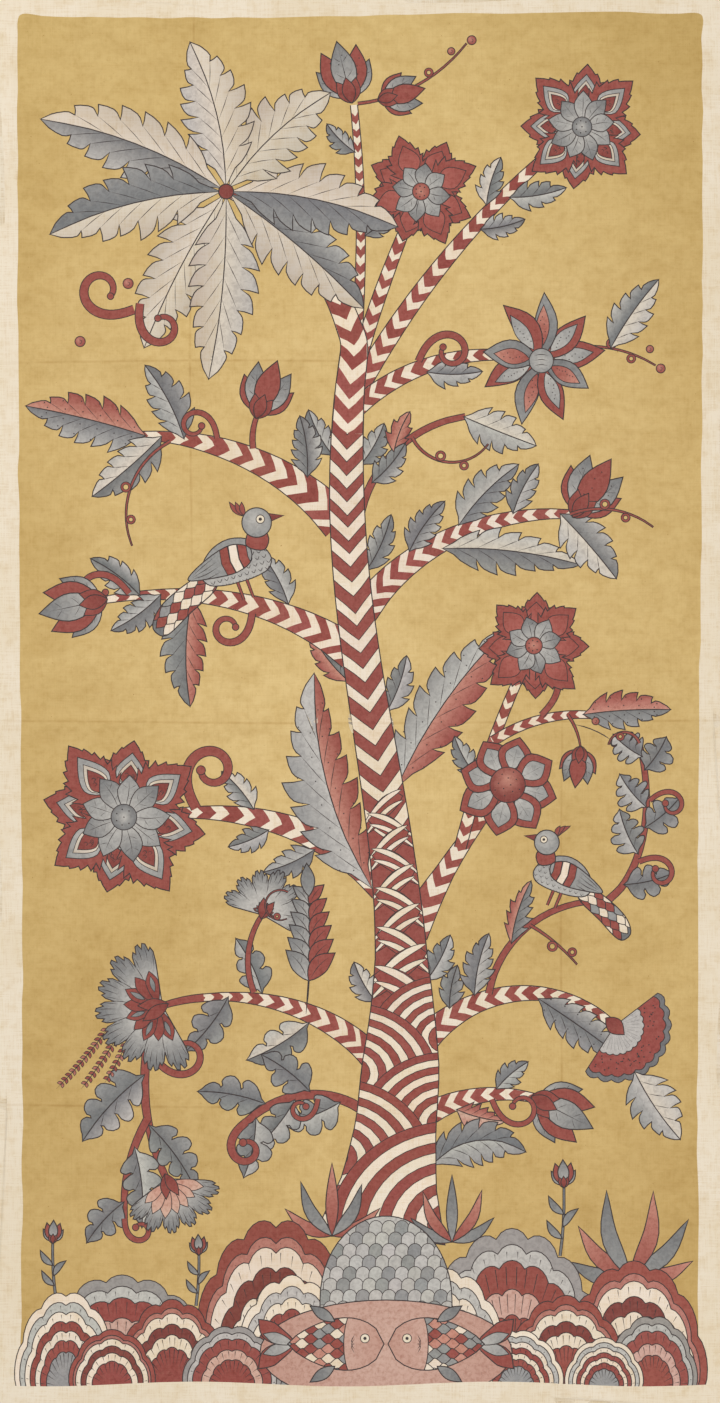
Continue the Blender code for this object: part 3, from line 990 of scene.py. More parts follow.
def right_boughs():
    a = bough(0.70, 1, 58, 246, -62, [30, 26, 22, 18, 14, 11, 8], late=0.85)
    b = bough(0.34, 1, 62, 176, -12, [36, 27, 19, 15, 12, 10], late=1.2)
    c = bough(0.212, 1, 50, 222, -92, [30, 24, 19, 16, 13, 10, 8], late=1.1)
    d = bough(0.128, 1, 38, 128, -52, [26, 21, 16, 12, 9], late=1.0)
    # The first: feathered leaves either side, a bud and rings past its end.
    sprout(a, 0.52, 1, 86, (18, 17), 5, left=P2G, right=G2L, angle=34, base=8)
    sprout(a, 0.30, 1, 62, (14, 14), 5, left=G2L, right=G2P, angle=30, base=9)
    sprout(a, 0.42, -1, 140, (19, 20), 6, left=L2G, right=G2L, angle=26, turn=18, base=6, full=0.42)
    sprout(a, 0.93, -1, 86, (22, 20), 5, left=G2P, right=L2G, angle=44, turn=8)
    sprout(a, 0.74, 1, 56, (13, 13), 4, left=G2L, right=P2G, angle=64, base=4)
    bud(on(a, 0.99), heading_at(a, 1) + 58, 66, warm=False, spots=True)
    tendril(on(a, 0.97), 20, 88, -58, ((0.40, 1), (0.66, -1)))
    # A red stem above it, with a red bud and a grey leaf.
    e = tube_stem(on(TRUNK, 0.79, -10), 86, 170, -78, 8)
    sprout(e, 0.52, 1, 44, (11, 10), 3, "jagged", left=P2M, angle=34)
    sprout(e, 0.30, -1, 52, (12, 12), 4, left=G2L, right=G2P, angle=24)
    sprout(e, 0.99, 1, 78, (19, 18), 5, left=L2G, right=P2G, angle=-36, turn=4)
    tendril(on(e, 0.66), 296, 92, 118, ((0.4, 1), (0.66, -1)))
    # The dotted leaf that stands by the trunk.
    sprig(on(TRUNK, 0.50, -14), 66, 196, -22, (26, 27), (7, 6), "feather", P2G, P2M, dots=2, full=0.44, t0=0.10)
    # The second: two round flowers.
    f = walk(on(b, 0.55), 76, 216, -12, 8)
    striped(f, [12, 11, 10, 9], pitch=17, depth=0.5, share=0.56, back=-1)
    g = walk(on(f, 0.52), 34, 108, -40, 8)
    striped(g, [10, 9, 7], pitch=16, depth=0.5, share=0.56, back=-1)
    sprout(f, 0.34, 1, 46, (11, 11), 4, left=G2L, right=P2G, angle=58, base=4)
    sprout(g, 0.88, -1, 88, (17, 16), 5, left=P2M, right=G2L, angle=-10, turn=10, dots=2)
    h = tendril(on(g, 0.74), 306, 36, -30, ())
    bud(h[-1], 262, 40, warm=False)
    q = walk(on(h, 0.3), 350, 42, -26, 5)
    stroke(q, 1.1, taper=(0.05, 0.1))
    berry(q[-1][0] + 3, q[-1][1] + 2, 4.6)
    berry(q[2][0] + 2, q[2][1] - 9, 3.8)
    scroll(on(g, 0.50, 4), 46, 116, 330, 6)
    daisy(on(b, 1.0), 52, 8, 14)
    star(on(f, 1.0), 57, 8, 0, 8, drops=False)
    # The third: a bird on its side shoot, a domed flower at its end.
    k = tube_stem(on(c, 0.40, 5), 80, 164, -84, 7)
    sprout(c, 0.22, 1, 44, (11, 11), 3, left=G2L, angle=58, base=8)
    sprout(c, 0.34, 1, 64, (14, 14), 5, left=G2L, right=P2G, angle=66, base=8)
    sprout(k, 0.34, 1, 66, (10, 13), 5, "jagged", left=P2M, right=G2L, angle=32)
    sprout(c, 0.62, -1, 106, (17, 18), 6, left=G2P, right=G2L, angle=28, turn=6, base=5, dots=1)
    tendril(on(k, 0.50), 330, 62, -20, ((0.5, -1), (0.8, 1)))
    dome(on(c, 1.0), heading_at(c, 1) - 6, 54)
    sprig(off(on(c, 1.0), heading_at(c, 1) - 30, 50), -64, 82, 16, (22, 20), 5, "feather", L2G, P2G, full=0.44)
    # The fourth: a folded bud, leaves under it.
    sprout(d, 0.36, -1, 50, (12, 12), 5, "jagged", left=P2M, right=P2P, angle=44, base=8)
    sprout(d, 0.70, 1, 42, (11, 11), 4, left=G2L, right=P2G, angle=50, base=5)
    bud(on(d, 1.0), heading_at(d, 1) - 16, 66)
    scroll(on(d, 0.66, -5), 292, 96, 330, 5.4)
    sprig(on(TRUNK, 0.085, -40), 50, 104, -84, (19, 22), 6, "feather", G2L, P2G, full=0.45)
    # The vine that climbs the right edge.
    v = tube_stem(k[-1], 20, 170, 84, 7.4, 0.45)
    for i, (t, side) in enumerate(((0.14, -1), (0.34, 1), (0.50, -1), (0.62, 1), (0.84, -1), (0.92, 1))):
        sprout(v, t, side, 52 - 3 * i, (15, 15), 4 if i % 2 else 3, "oak", left=(G2L, P2G)[i % 2], right=G2L, angle=52)
    scroll(on(v, 0.30, -3), 22, 78, -340, 5.4)
    scroll(on(v, 0.66, -3), 40, 70, -330, 4.8)
    tendril(v[-1], heading_at(v, 1) + 6, 42, 150, ((0.6, 1),), ring=4.2)
    return k


def dome(c, heading, r):
    """A flower like a frilled cap."""
    a0, a1 = math.radians(-heading - 80), math.radians(-heading + 80)
    cx, cy = c
    for k, dye, colour in ((1.0, BLUE, GREY_DEEP), (0.90, RED, MADDER), (0.52, BLUE, GREY_PALE)):
        pts = [(cx, cy)]
        n = 11
        for i in range(n * 4 + 1):
            a = a0 + (a1 - a0) * i / (n * 4)
            pts.append(towards(cx, cy, a, r * k * (1 + 0.055 * abs(math.sin(math.pi * i / 4)))))
        shape(pts, dye, jig(colour), 0.95)
    for i in range(46):
        a, q = RNG.uniform(a0 + 0.1, a1 - 0.1), r * RNG.uniform(0.60, 0.84)
        x, y = towards(cx, cy, a, q)
        dot(x, y, 0.8)
    for i in range(17):
        a = a0 + (a1 - a0) * (i + 0.5) / 17
        stroke([towards(cx, cy, a, r * 0.12), towards(cx, cy, a, r * 0.3), towards(cx, cy, a, r * 0.48)], HATCH)
    petal(off(c, heading + 180, r * 0.22), off(c, heading, r * 0.24), r * 0.15, 0, 0.5, RED, MADDER_DEEP, MADDER, pen=0.95)


# The creatures ------------------------------------------------------------------------------
def bird(x, y, s, face, tilt=0.0):
    """A perched bird. x, y is the middle of its breast; s is its breast's half length."""
    ct, st = math.cos(math.radians(tilt)), math.sin(math.radians(tilt))

    def at(u, v):
        return (x + face * s * (u * ct - v * st), y - s * (u * st + v * ct))

    # The tail, widening away from the body, with its feathers laid on it.
    spread = [at(-0.55, 0.05), at(-1.35, -0.12), at(-2.35, -0.62), at(-2.62, -1.06), at(-2.40, -1.34), at(-1.50, -0.92), at(-0.62, -0.42)]
    tail = smooth(spread, closed=True)
    shape(tail, BLUE, GREY_DEEP)
    clip = grow(tail, -PEN / 2)
    back = np.array(at(-2.5, -1.2)) - np.array(at(-0.8, -0.2))
    back /= np.hypot(*back)
    side = np.array([back[1], -back[0]])
    scales(at(-0.75, -0.18), tuple(back * s * 0.27), tuple(side * s * 0.27), 7, 4, s * 0.30,
           [(RED, MADDER), (COTTON, STRIPE), (RED, MADDER), (BLUE, GREY), (COTTON, STRIPE)], clip)
    # The body.
    body = tidy(smooth([at(0.98 * math.cos(a), 0.60 * math.sin(a) - 0.10 * math.cos(2 * a)) for a in np.linspace(0, 2 * math.pi, 12, endpoint=False)], closed=True))
    shape(body, BLUE, lin(at(0, 0.6), at(0, -0.6), GREY, GREY_PALE))
    inside_body = grow(body, -PEN / 2)
    for i in range(6):
        for j in range(9):
            u, v = -0.72 + 0.19 * j + 0.09 * (i % 2), -0.60 + 0.16 * i
            stroke([at(u - 0.07, v), at(u, v - 0.09), at(u + 0.07, v)], 0.7, taper=(0.1, 0.1), clip=inside_body)
    # Neck and head.
    soft([at(0.42, 0.40), at(0.62, 0.78), at(0.92, 0.82), at(1.06, 0.42), at(0.86, 0.16)], RED, MADDER)
    head = at(0.86, 0.92)
    poly([at(1.16, 1.10), at(1.62, 0.90), at(1.18, 0.84)], RED, MADDER_DEEP, 0.95)
    for k in range(3):
        petal(at(0.62, 1.16), at(0.30 + 0.16 * k, 1.66 - 0.05 * k), s * 0.07, 0.1, 0.6, RED, MADDER, MADDER, pen=0.8)
    shape(disc(head[0], head[1], s * 0.40), BLUE, rad((head[0] - 2, head[1] - 3), 0, s * 0.42, GREY_PALE, GREY))
    eye = at(0.98, 0.98)
    shape(disc(eye[0], eye[1], s * 0.115), COTTON, CREAM, 0.8)
    dot(eye[0], eye[1], s * 0.05)
    # The wing: a drop crossed by bars.
    wing = tidy(smooth([at(0.50, 0.30), at(0.10, 0.52), at(-0.55, 0.40), at(-1.35, -0.06), at(-0.72, -0.20), at(0.02, -0.22), at(0.42, -0.04)], closed=True))
    shape(wing, BLUE, GREY)
    inner = grow(wing, -PEN / 2)
    for k, (dye, colour) in enumerate(((RED, MADDER), (COTTON, STRIPE), (RED, MADDER))):
        u = 0.44 - 0.25 * k
        shape([at(u, 0.75), at(u - 0.22, 0.75), at(u - 0.30, 0.1), at(u - 0.16, -0.5), at(u + 0.06, -0.5), at(u - 0.06, 0.1)], dye, jig(colour), 0.8, inner)
    for k in range(4):
        stroke([at(-0.44, 0.36 - 0.15 * k), at(-0.86, 0.18 - 0.12 * k), at(-1.26, -0.02 - 0.03 * k)], FINE, clip=inner)
    # Feet.
    for u in (-0.08, 0.18):
        tube([at(u, -0.50), at(u + 0.02, -0.76), at(u + 0.04, -1.0)], [2.8, 2.3], pen=0.8)


def fish(x, y, s, face):
    """A fish that faces right (1) or left (-1); x, y is its nose, s its length."""
    def at(u, v):
        return (x - face * s * u, y - s * v)
    for v in (-1, 1):
        petal(at(0.80, 0.02 * v), at(1.12, 0.22 * v), s * 0.085, 0.1 * v * face, 0.62, RED, MADDER, MADDER)
        petal(at(0.80, 0.0), at(1.08, 0.09 * v), s * 0.05, 0, 0.6, BLUE, GREY_PALE, GREY, pen=0.9)
    u = np.linspace(0, 1, 13)
    w = 0.235 * np.sin(math.pi * u**0.74) ** 0.72
    body = tidy(np.array([at(a * 0.86, b) for a, b in zip(u, w)] + [at(a * 0.86, -b) for a, b in zip(u[::-1], w[::-1])][1:-1]))
    shape(body, RED, MADDER)
    clip = grow(body, -PEN / 2)
    along = (-face * s * 0.078, 0.0)
    scales(at(0.30, 0), along, (0.0, s * 0.088), 8, 6, s * 0.085, [(RED, MADDER), (COTTON, STRIPE), (BLUE, GREY), (RED, PINK)], clip)
    gill = tidy(smooth([at(-0.05, 0.0), at(0.04, 0.30), at(0.28, 0.30), at(0.36, 0.0), at(0.28, -0.30), at(0.04, -0.30)], closed=True))
    shape(gill, RED, lin(at(0, 0), at(0.34, 0), (192, 148, 132), BLUSH), 1.0, clip)
    ex, ey = at(0.17, 0.05)
    shape(disc(ex, ey, s * 0.040), COTTON, CREAM, 0.8)
    dot(ex, ey, s * 0.016)
    for k in (-1, 0, 1):
        stroke([at(0.26, 0.05 + 0.04 * k), at(0.29, 0.02 * k), at(0.26, -0.05 + 0.04 * k)], FINE, clip=clip)
    for v in (-1, 1):
        petal(at(0.44, 0.20 * v), at(0.66, 0.34 * v), s * 0.05, 0, 0.5, BLUE, GREY, GREY_DEEP)


# The ground ---------------------------------------------------------------------------------
def mound(cx, cy, rx, ry, n, bands):
    """A rock with a scalloped top, in bands towards its foot: (share, dye, colour, strokes)."""
    def rim(k):
        pts = []
        for i in range(n):
            for j in range(6):
                a = math.pi * (1 + (i + j / 6) / n)
                q = k * (0.955 + 0.055 * math.sin(math.pi * j / 6) ** 0.7)
                pts.append((cx + rx * q * math.cos(a), cy + ry * q * math.sin(a)))
        q = k * 0.955
        return pts + [(cx + rx * q, cy), (cx + rx * q, cy + 60), (cx - rx * q, cy + 60), (cx - rx * q, cy)]
    for i, (k, dye, colour, count) in enumerate(bands):
        shape(rim(k), dye, jig(colour, 4), 1.0)
        nxt = bands[i + 1][0] if i + 1 < len(bands) else 0.0
        for j in range(count):
            a = math.pi * (1 + (j + 0.5 + RNG.uniform(-0.12, 0.12)) / count)
            p = lambda q: (cx + rx * q * math.cos(a), cy + ry * q * math.sin(a))
            end = nxt * 1.02 if i + 1 < len(bands) else k * 0.55
            stroke([p(k * 0.96), p((k * 0.96 + end) / 2), p(end)], 0.85, taper=(0.0, 0.2))


def tuft(x, y, size, n=5, warm=True):
    """A spray of pointed blades."""
    for i in (0, n - 1, 1, n - 2, 2, 3)[:n]:
        h = 90 + 30 * (i - (n - 1) / 2)
        red = (i % 2 == 0) == warm
        long = size * (1.0 - 0.13 * abs(i - (n - 1) / 2)) * RNG.uniform(0.92, 1.06)
        petal((x, y), off((x, y), h, long), size * 0.085, 0.10 * (1 if h > 90 else -1 if h < 90 else 0), 0.42, RED if red else BLUE,
              MADDER if red else GREY, PINK if red else GREY_DEEP)


def stalk(x, y, size, lean):
    path = walk((x, y), 90 + lean, size, -lean * 1.2, 6)
    tube(path, [2.6, 2.2], BLUE, GREY_DEEP, pen=0.8)
    for t, side in ((0.25, 1), (0.42, -1), (0.60, 1)):
        q = on(path, t)
        petal(q, off(q, 90 + side * 40, size * 0.34), size * 0.055, 0.1, 0.45, BLUE, GREY, GREY_DEEP)
    bud(path[-1], 90 - lean * 0.3, size * 0.38)


def rocks():
    ring1 = ((1.0, COTTON, STRIPE), (0.90, BLUE, GREY_PALE), (0.80, COTTON, STRIPE), (0.70, RED, MADDER), (0.60, COTTON, STRIPE),
             (0.50, RED, MADDER), (0.38, BLUE, GREY))
    warm = ((1.0, RED, MADDER), (0.90, RED, (178, 118, 105)), (0.84, COTTON, STRIPE), (0.72, RED, DARK), (0.60, COTTON, STRIPE), (0.46, RED, MADDER))
    grey = ((1.0, BLUE, (156, 151, 145)), (0.90, BLUE, GREY_PALE), (0.80, RED, MADDER), (0.62, RED, BLUSH), (0.46, RED, MADDER))
    # x of the middle, half width, height, scallops, bands, strokes on every band but the first
    rows = (("far", 122, 96, 112, 9, grey, 22), ("far", 276, 88, 168, 8, warm, 20), ("far", 512, 96, 158, 9, grey, 22), ("far", 634, 74, 126, 7, warm, 18),
            ("near", 66, 52, 96, 6, ring1, 14), ("near", 172, 56, 88, 7, warm, 16), ("near", 292, 60, 112, 7, ring1, 18), ("near", 448, 62, 118, 7, ring1, 18),
            ("near", 566, 62, 92, 7, warm, 18), ("near", 652, 46, 72, 6, grey, 14), ("near", 112, 44, 58, 5, warm, 12), ("near", 232, 50, 62, 6, grey, 14),
            ("near", 516, 48, 58, 6, ring1, 14), ("near", 604, 40, 50, 5, ring1, 12))
    tuft(332, 1236, 74, 5)
    tuft(452, 1242, 66, 5, warm=False)
    tuft(630, 1278, 98, 6)
    stalk(56, 1300, 58, 8)
    stalk(196, 1306, 52, -8)
    stalk(560, 1256, 70, -8)
    for row in rows:
        _, cx, rx, ry, n, bands, count = row
        mound(cx, 1388, rx, ry, n, [(k, dye, c, count if i else 0) for i, (k, dye, c) in enumerate(bands)])
    # The scaled dome the tree grows from.
    dome_loop = tidy(np.array([(386 + 66 * math.cos(a), 1300 + 84 * math.sin(a)) for a in np.linspace(math.pi, 2 * math.pi, 26)] + [(452, 1330), (320, 1330)]))
    shape(dome_loop, BLUE, GREY_PALE)
    inner = grow(dome_loop, -PEN / 2)
    for i in range(9):
        for j in range(11):
            x, y = 324 + 13 * j + 6.5 * (i % 2), 1228 + 11.5 * i
            arc = [(x + 7.2 * math.cos(a), y + 7.6 * math.sin(a)) for a in np.linspace(math.pi, 2 * math.pi, 8)]
            shape(arc + [(x + 7.2, y + 8), (x - 7.2, y + 8)], BLUE, jig(GREY_PALE if (i + j) % 3 else GREY, 6), 0.75, inner)
            stroke([(x, y - 4.6), (x, y - 2), (x, y)], HATCH, clip=inner)
    # The pool and its two fish.
    pool = tidy(np.array([(386 + 126 * math.cos(a), 1352 + 52 * math.sin(a)) for a in np.linspace(0, 2 * math.pi, 44, endpoint=False)]))
    shape(pool, RED, rad((386, 1352), 10, 120, (204, 168, 152), (192, 148, 132)))
    dashes(276, 1312, 498, 1382, 90, grow(pool, -PEN))
    fish(384, 1344, 112, 1)
    fish(388, 1344, 112, -1)


def ground():
    """The yellow field: a rectangle whose edges were brushed by hand."""
    x0, y0, x1, y1 = 20, 15, 700, 1390
    pts = []
    for (ax, ay), (bx, by) in (((x0, y0), (x1, y0)), ((x1, y0), (x1, y1)), ((x1, y1), (x0, y1)), ((x0, y1), (x0, y0))):
        n = int(math.hypot(bx - ax, by - ay) / 24)
        for i in range(n):
            t = i / n
            sway = 2.6 * math.sin(5.3 * t + ax * 0.01) + RNG.uniform(-0.9, 0.9)
            nx, ny = (0, 1) if ay == by else (1, 0)
            pts.append((ax + (bx - ax) * t + nx * sway, ay + (by - ay) * t + ny * sway))
    add(smooth(pts, closed=True), YELLOW, flat(OCHRE))


def margin():
    """The bare cloth below the rocks, over their feet."""
    top = smooth([(x, 1384 + 2.4 * math.sin(x * 0.021 + 0.6)) for x in range(-40, 761, 40)])
    add(np.vstack([top, [(760, 1440), (-40, 1440)]]), COTTON, CREAM)


def trunk_leaves():
    """Small leaves that spring straight from the trunk between its boughs."""
    for t, side, long, looks in ((0.875, 1, 52, (G2L, P2G)), (0.865, -1, 48, (P2G, G2L)), (0.745, -1, 62, (G2P, G2L)), (0.625, 1, 62, (P2M, G2L)), (0.585, -1, 60, (G2L, P2G)),
                                 (0.285, -1, 52, (G2L, P2G)), (0.262, 1, 46, (G2P, L2G))):
        sprout(TRUNK, t, side, long, (13, 12), 4, left=looks[0], right=looks[1], angle=40, base=girth(t) * 0.42)


def paint():
    ground()
    trunk_leaves()
    perch_left = left_boughs()
    perch_right = right_boughs()
    trunk()
    upper_right()
    crown_stem()
    palm()
    x, y = on(perch_left, 0.50, -8)
    bird(x, y - 29, 37, 1, 16)
    x, y = on(perch_right, 0.74, 4)
    bird(x, y - 25, 31, -1, 18)
    rocks()
    margin()


paint()


# ---------------------------------------------------------------------------
# The cloth: its outline, and how high it lies at each place.

UNIT = 1.14 / 720       # metres to a unit of the drawing
WIDTH, HEIGHT, THICK = 1.160, 2.245, 0.0012
EDGE_WANDER = 0.0016

FOLDS = [
    dict(runs="across", at=0.5370, start=-0.600, end=0.300, rise=0.0016, half=0.022, wander=0.003),
    dict(runs="across", at=-0.0325, start=-0.620, end=0.620, rise=0.0030, half=0.026, wander=0.002),
    dict(runs="across", at=-0.6390, start=-0.640, end=0.250, rise=0.0020, half=0.024, wander=0.003),
    dict(runs="down", at=0.3200, start=-1.180, end=0.020, rise=0.0026, half=0.024, wander=0.002),
    dict(runs="down", at=-0.2660, start=0.180, end=1.180, rise=0.0014, half=0.022, wander=0.003),
]
PUCKERS = [
    dict(x=0.300, y=0.905, rise=0.0014, long=0.190, short=0.055, turn=24),
    dict(x=-0.420, y=0.270, rise=0.0012, long=0.120, short=0.060, turn=-62),
    dict(x=0.455, y=0.250, rise=0.0016, long=0.150, short=0.060, turn=78),
    dict(x=-0.330, y=-0.345, rise=0.0010, long=0.160, short=0.055, turn=8),
    dict(x=0.460, y=-0.700, rise=0.0016, long=0.170, short=0.060, turn=-68),
    dict(x=-0.420, y=-0.860, rise=0.0014, long=0.140, short=0.060, turn=-12),
]
LIFTS = [
    dict(edge="left", middle=0.860, run=0.200, reach=0.060, rise=0.0026),
    dict(edge="left", middle=-0.260, run=0.260, reach=0.050, rise=0.0020),
    dict(edge="right", middle=0.420, run=0.230, reach=0.055, rise=0.0024),
    dict(edge="right", middle=-0.520, run=0.210, reach=0.050, rise=0.0022),
    dict(edge="top", middle=0.180, run=0.240, reach=0.055, rise=0.0024),
    dict(edge="bottom", middle=-0.160, run=0.260, reach=0.055, rise=0.0026),
    dict(edge="bottom", middle=0.400, run=0.120, reach=0.050, rise=0.0018),
]


def swell(d):
    return np.where(np.abs(d) < 1, (1 - d * d) ** 2, 0.0)


def height(x, y):
    """How far the underside is above the surface at these places."""
    z = np.zeros_like(x)
    for f in FOLDS:
        along, off = (x, y) if f["runs"] == "across" else (y, x)
        off = off - (f["at"] + f["wander"] * np.sin(5.3 * along + 40 * f["at"]))
        end = np.clip(np.minimum(along - f["start"], f["end"] - along) / 0.10, 0, 1)
        uneven = 0.82 + 0.18 * np.sin(9.1 * along + 17 * f["half"] * 1000)
        z += f["rise"] * end * end * (3 - 2 * end) * uneven * swell(off / f["half"])
    for p in PUCKERS:
        a = math.radians(p["turn"])
        dx, dy = x - p["x"], y - p["y"]
        u = (dx * math.cos(a) + dy * math.sin(a)) / p["long"]
        v = (dy * math.cos(a) - dx * math.sin(a)) / p["short"]
        z += p["rise"] * swell(np.hypot(u, v))
    for e in LIFTS:
        inward, along = {"left": (x + WIDTH / 2, y), "right": (WIDTH / 2 - x, y),
                         "top": (HEIGHT / 2 - y, x), "bottom": (y + HEIGHT / 2, x)}[e["edge"]]
        z += e["rise"] * swell(np.maximum(0, inward) / e["reach"]) * swell((along - e["middle"]) / e["run"])
    return z


def edge_wander(t, phase):
    return EDGE_WANDER * (0.5 - 0.3 * np.cos(5.1 * t + phase) - 0.2 * np.cos(13.7 * t + 2 * phase))


def place(x, y):
    sx = 1 - np.where(x < 0, edge_wander(y, 0.4), edge_wander(y, 2.1)) / (WIDTH / 2)
    sy = 1 - np.where(y < 0, edge_wander(x, 1.3), edge_wander(x, 3.3)) / (HEIGHT / 2)
    return x * sx, y * sy


def lines(size, spacing, runs):
    half = size / 2
    n = math.ceil(size / spacing)
    even = [-half + size * i / n for i in range(n + 1)]
    folds = [f for f in FOLDS if f["runs"] == runs]
    kept = [v for v in even if abs(abs(v) - half) < 1e-9 or all(abs(v - f["at"]) > f["half"] + spacing * 0.3 for f in folds)]
    close = [f["at"] + f["half"] * k for f in folds for k in (-1.15, -0.8, -0.5, -0.25, 0.0, 0.25, 0.5, 0.8, 1.15)]
    return np.array(sorted(kept + close))


def net(spacing):
    """The cloth's own grid, less its rim."""
    xs, ys = lines(WIDTH, spacing, "down"), lines(HEIGHT, spacing, "across")
    gx, gy = np.meshgrid(xs, ys)
    px, py = place(gx, gy)
    px, py = px - SHIFT[0], py - SHIFT[1]
    return np.stack([px[1:-1, 1:-1].ravel(), py[1:-1, 1:-1].ravel()], 1)


def rim_loop(spacing=0.012):
    nx, ny = math.ceil(WIDTH / spacing), math.ceil(HEIGHT / spacing)
    x, y = np.linspace(-WIDTH / 2, WIDTH / 2, nx + 1), np.linspace(-HEIGHT / 2, HEIGHT / 2, ny + 1)
    side = np.concatenate([np.stack([x, np.full_like(x, y[0])], 1)[:-1], np.stack([np.full_like(y, x[-1]), y], 1)[:-1],
                           np.stack([x[::-1], np.full_like(x, y[-1])], 1)[:-1], np.stack([np.full_like(y, x[0]), y[::-1]], 1)[:-1]])
    return np.stack(place(side[:, 0], side[:, 1]), 1)


RIM = rim_loop()
SHIFT = (RIM.min(0) + RIM.max(0)) / 2
RIM = RIM - SHIFT


# ---------------------------------------------------------------------------
# Cutting the sheet along the drawing.

def cut(points, edges):
    """The triangles between these points and edges: places, corner numbers."""
    got = delaunay_2d_cdt([mathutils.Vector(p) for p in points.tolist()], [tuple(e) for e in edges.tolist()], [], 0, 1e-7, False)
    return np.array([tuple(v) for v in got[0]]), np.array([tuple(f) for f in got[2]], np.int64), got[1]


def inside(loop, x, y):
    """Which of these places the loop goes round."""
    a, b = loop, np.roll(loop, -1, 0)
    turns = np.zeros(len(x), np.int32)
    step = max(1, 4000000 // len(loop))
    for i in range(0, len(x), step):
        px, py = x[i:i + step, None], y[i:i + step, None]
        up = (a[None, :, 1] <= py) & (b[None, :, 1] > py)
        down = (a[None, :, 1] > py) & (b[None, :, 1] <= py)
        left = (b[None, :, 0] - a[None, :, 0]) * (py - a[None, :, 1]) - (px - a[None, :, 0]) * (b[None, :, 1] - a[None, :, 1])
        turns[i:i + step] = (up & (left > 0)).sum(1) - (down & (left < 0)).sum(1)
    return turns != 0


def what_shows(x, y):
    """The number of the topmost painted shape at each of these places, in the drawing's units, or -1."""
    order = np.argsort(x, kind="stable")
    sx = x[order]
    shown = np.full(len(x), -1, np.int32)
    for k, (loop, dye, colour, clip) in enumerate(ITEMS):
        lo, hi = loop.min(0), loop.max(0)
        a, b = np.searchsorted(sx, [lo[0], hi[0]])
        near = order[a:b]
        near = near[(y[near] >= lo[1]) & (y[near] <= hi[1])]
        if not len(near):
            continue
        near = near[inside(loop, x[near], y[near])]
        if clip is not None and len(near):
            near = near[inside(clip, x[near], y[near])]
        shown[near] = k
    return shown


def to_world(p):
    return np.stack([(p[:, 0] - 360) * UNIT, (701.5 - p[:, 1]) * UNIT], 1)


def to_drawing(p):
    return p[:, 0] / UNIT + 360, 701.5 - p[:, 1] / UNIT


def loops_to_edges(loops):
    pts, edges, n = [], [], 0
    for p in loops:
        k = np.arange(len(p))
        pts.append(p)
        edges.append(np.stack([k, np.roll(k, -1)], 1) + n)
        n += len(p)
    return np.concatenate(pts), np.concatenate(edges)


def simpler(places, edges, reach):
    """The same web of lines, with the points left out that its lines hardly bend at."""
    joined = {}
    for a, b in edges:
        joined.setdefault(a, []).append(b)
        joined.setdefault(b, []).append(a)
    done, kept = set(), []
    knots = [v for v, n in joined.items() if len(n) != 2]
    for start in knots + list(joined):
        if start in done and len(joined[start]) == 2:
            continue
        for nxt in joined[start]:
            if (start, nxt) in done:
                continue
            chain = [start, nxt]
            while len(joined[chain[-1]]) == 2 and chain[-1] != start:
                a, b = joined[chain[-1]]
                chain.append(b if a == chain[-2] else a)
            done.update(chain[1:-1])
            for i in range(len(chain) - 1):
                done.add((chain[i], chain[i + 1]))
                done.add((chain[i + 1], chain[i]))
            p = places[chain]
            keep = np.zeros(len(chain), bool)
            keep[0] = keep[-1] = True
            if chain[0] == chain[-1] and len(chain) > 3:
                keep[int(np.argmax(((p - p[0]) ** 2).sum(1)))] = True
            todo = list(zip(np.flatnonzero(keep)[:-1], np.flatnonzero(keep)[1:]))
            while todo:
                i, j = todo.pop()
                if j - i < 2:
                    continue
                d = p[j] - p[i]
                n = math.hypot(*d)
                q = p[i + 1:j] - p[i]
                off = np.abs(q[:, 0] * d[1] - q[:, 1] * d[0]) / n if n > 1e-12 else np.hypot(q[:, 0], q[:, 1])
                m = int(np.argmax(off))
                if off[m] > reach:
                    keep[i + 1 + m] = True
                    todo += [(i, i + 1 + m), (i + 1 + m, j)]
            ids = [c for c, k in zip(chain, keep) if k]
            kept += list(zip(ids[:-1], ids[1:]))
        done.add(start)
    return np.array(kept, np.int64)


def front():
    """The painted side: places, triangles, and what is painted on each."""
    loops, seen = [], set()
    for loop, dye, colour, clip in ITEMS:
        loops.append(to_world(loop))
        if clip is not None and id(clip) not in seen:
            seen.add(id(clip))
            loops.append(to_world(clip))
    pts, edges = loops_to_edges([RIM] + [np.clip(p, RIM.min(0) * 0.999, RIM.max(0) * 0.999) for p in loops])
    places, tris, _ = cut(pts, edges)
    mid = places[tris].mean(1)
    shown = what_shows(*to_drawing(mid))
    # Lines that nothing shows on either side of are hidden under other paint.
    sides = np.sort(np.concatenate([tris[:, [0, 1]], tris[:, [1, 2]], tris[:, [2, 0]]]), 1)
    what = np.concatenate([shown] * 3)
    key = sides[:, 0] * (len(places) + 1) + sides[:, 1]
    order = np.argsort(key, kind="stable")
    key, what, sides = key[order], what[order], sides[order]
    first = np.flatnonzero(np.r_[True, key[1:] != key[:-1]])
    count = np.diff(np.r_[first, len(key)])
    other = np.where(count == 2, what[np.minimum(first + 1, len(what) - 1)], -9)
    lines_ = sides[first][(what[first] != other)]
    lines_ = simpler(places, lines_, 0.00011)
    used, back = np.unique(lines_, return_inverse=True)
    pts = np.concatenate([places[used], net(0.020)])
    places, tris, _ = cut(pts, back.reshape(-1, 2))
    mid = places[tris].mean(1)
    x, y = mid[:, 0], mid[:, 1]
    tris = tris[inside(RIM, x, y)]
    mid = places[tris].mean(1)
    return places, tris, what_shows(*to_drawing(mid))


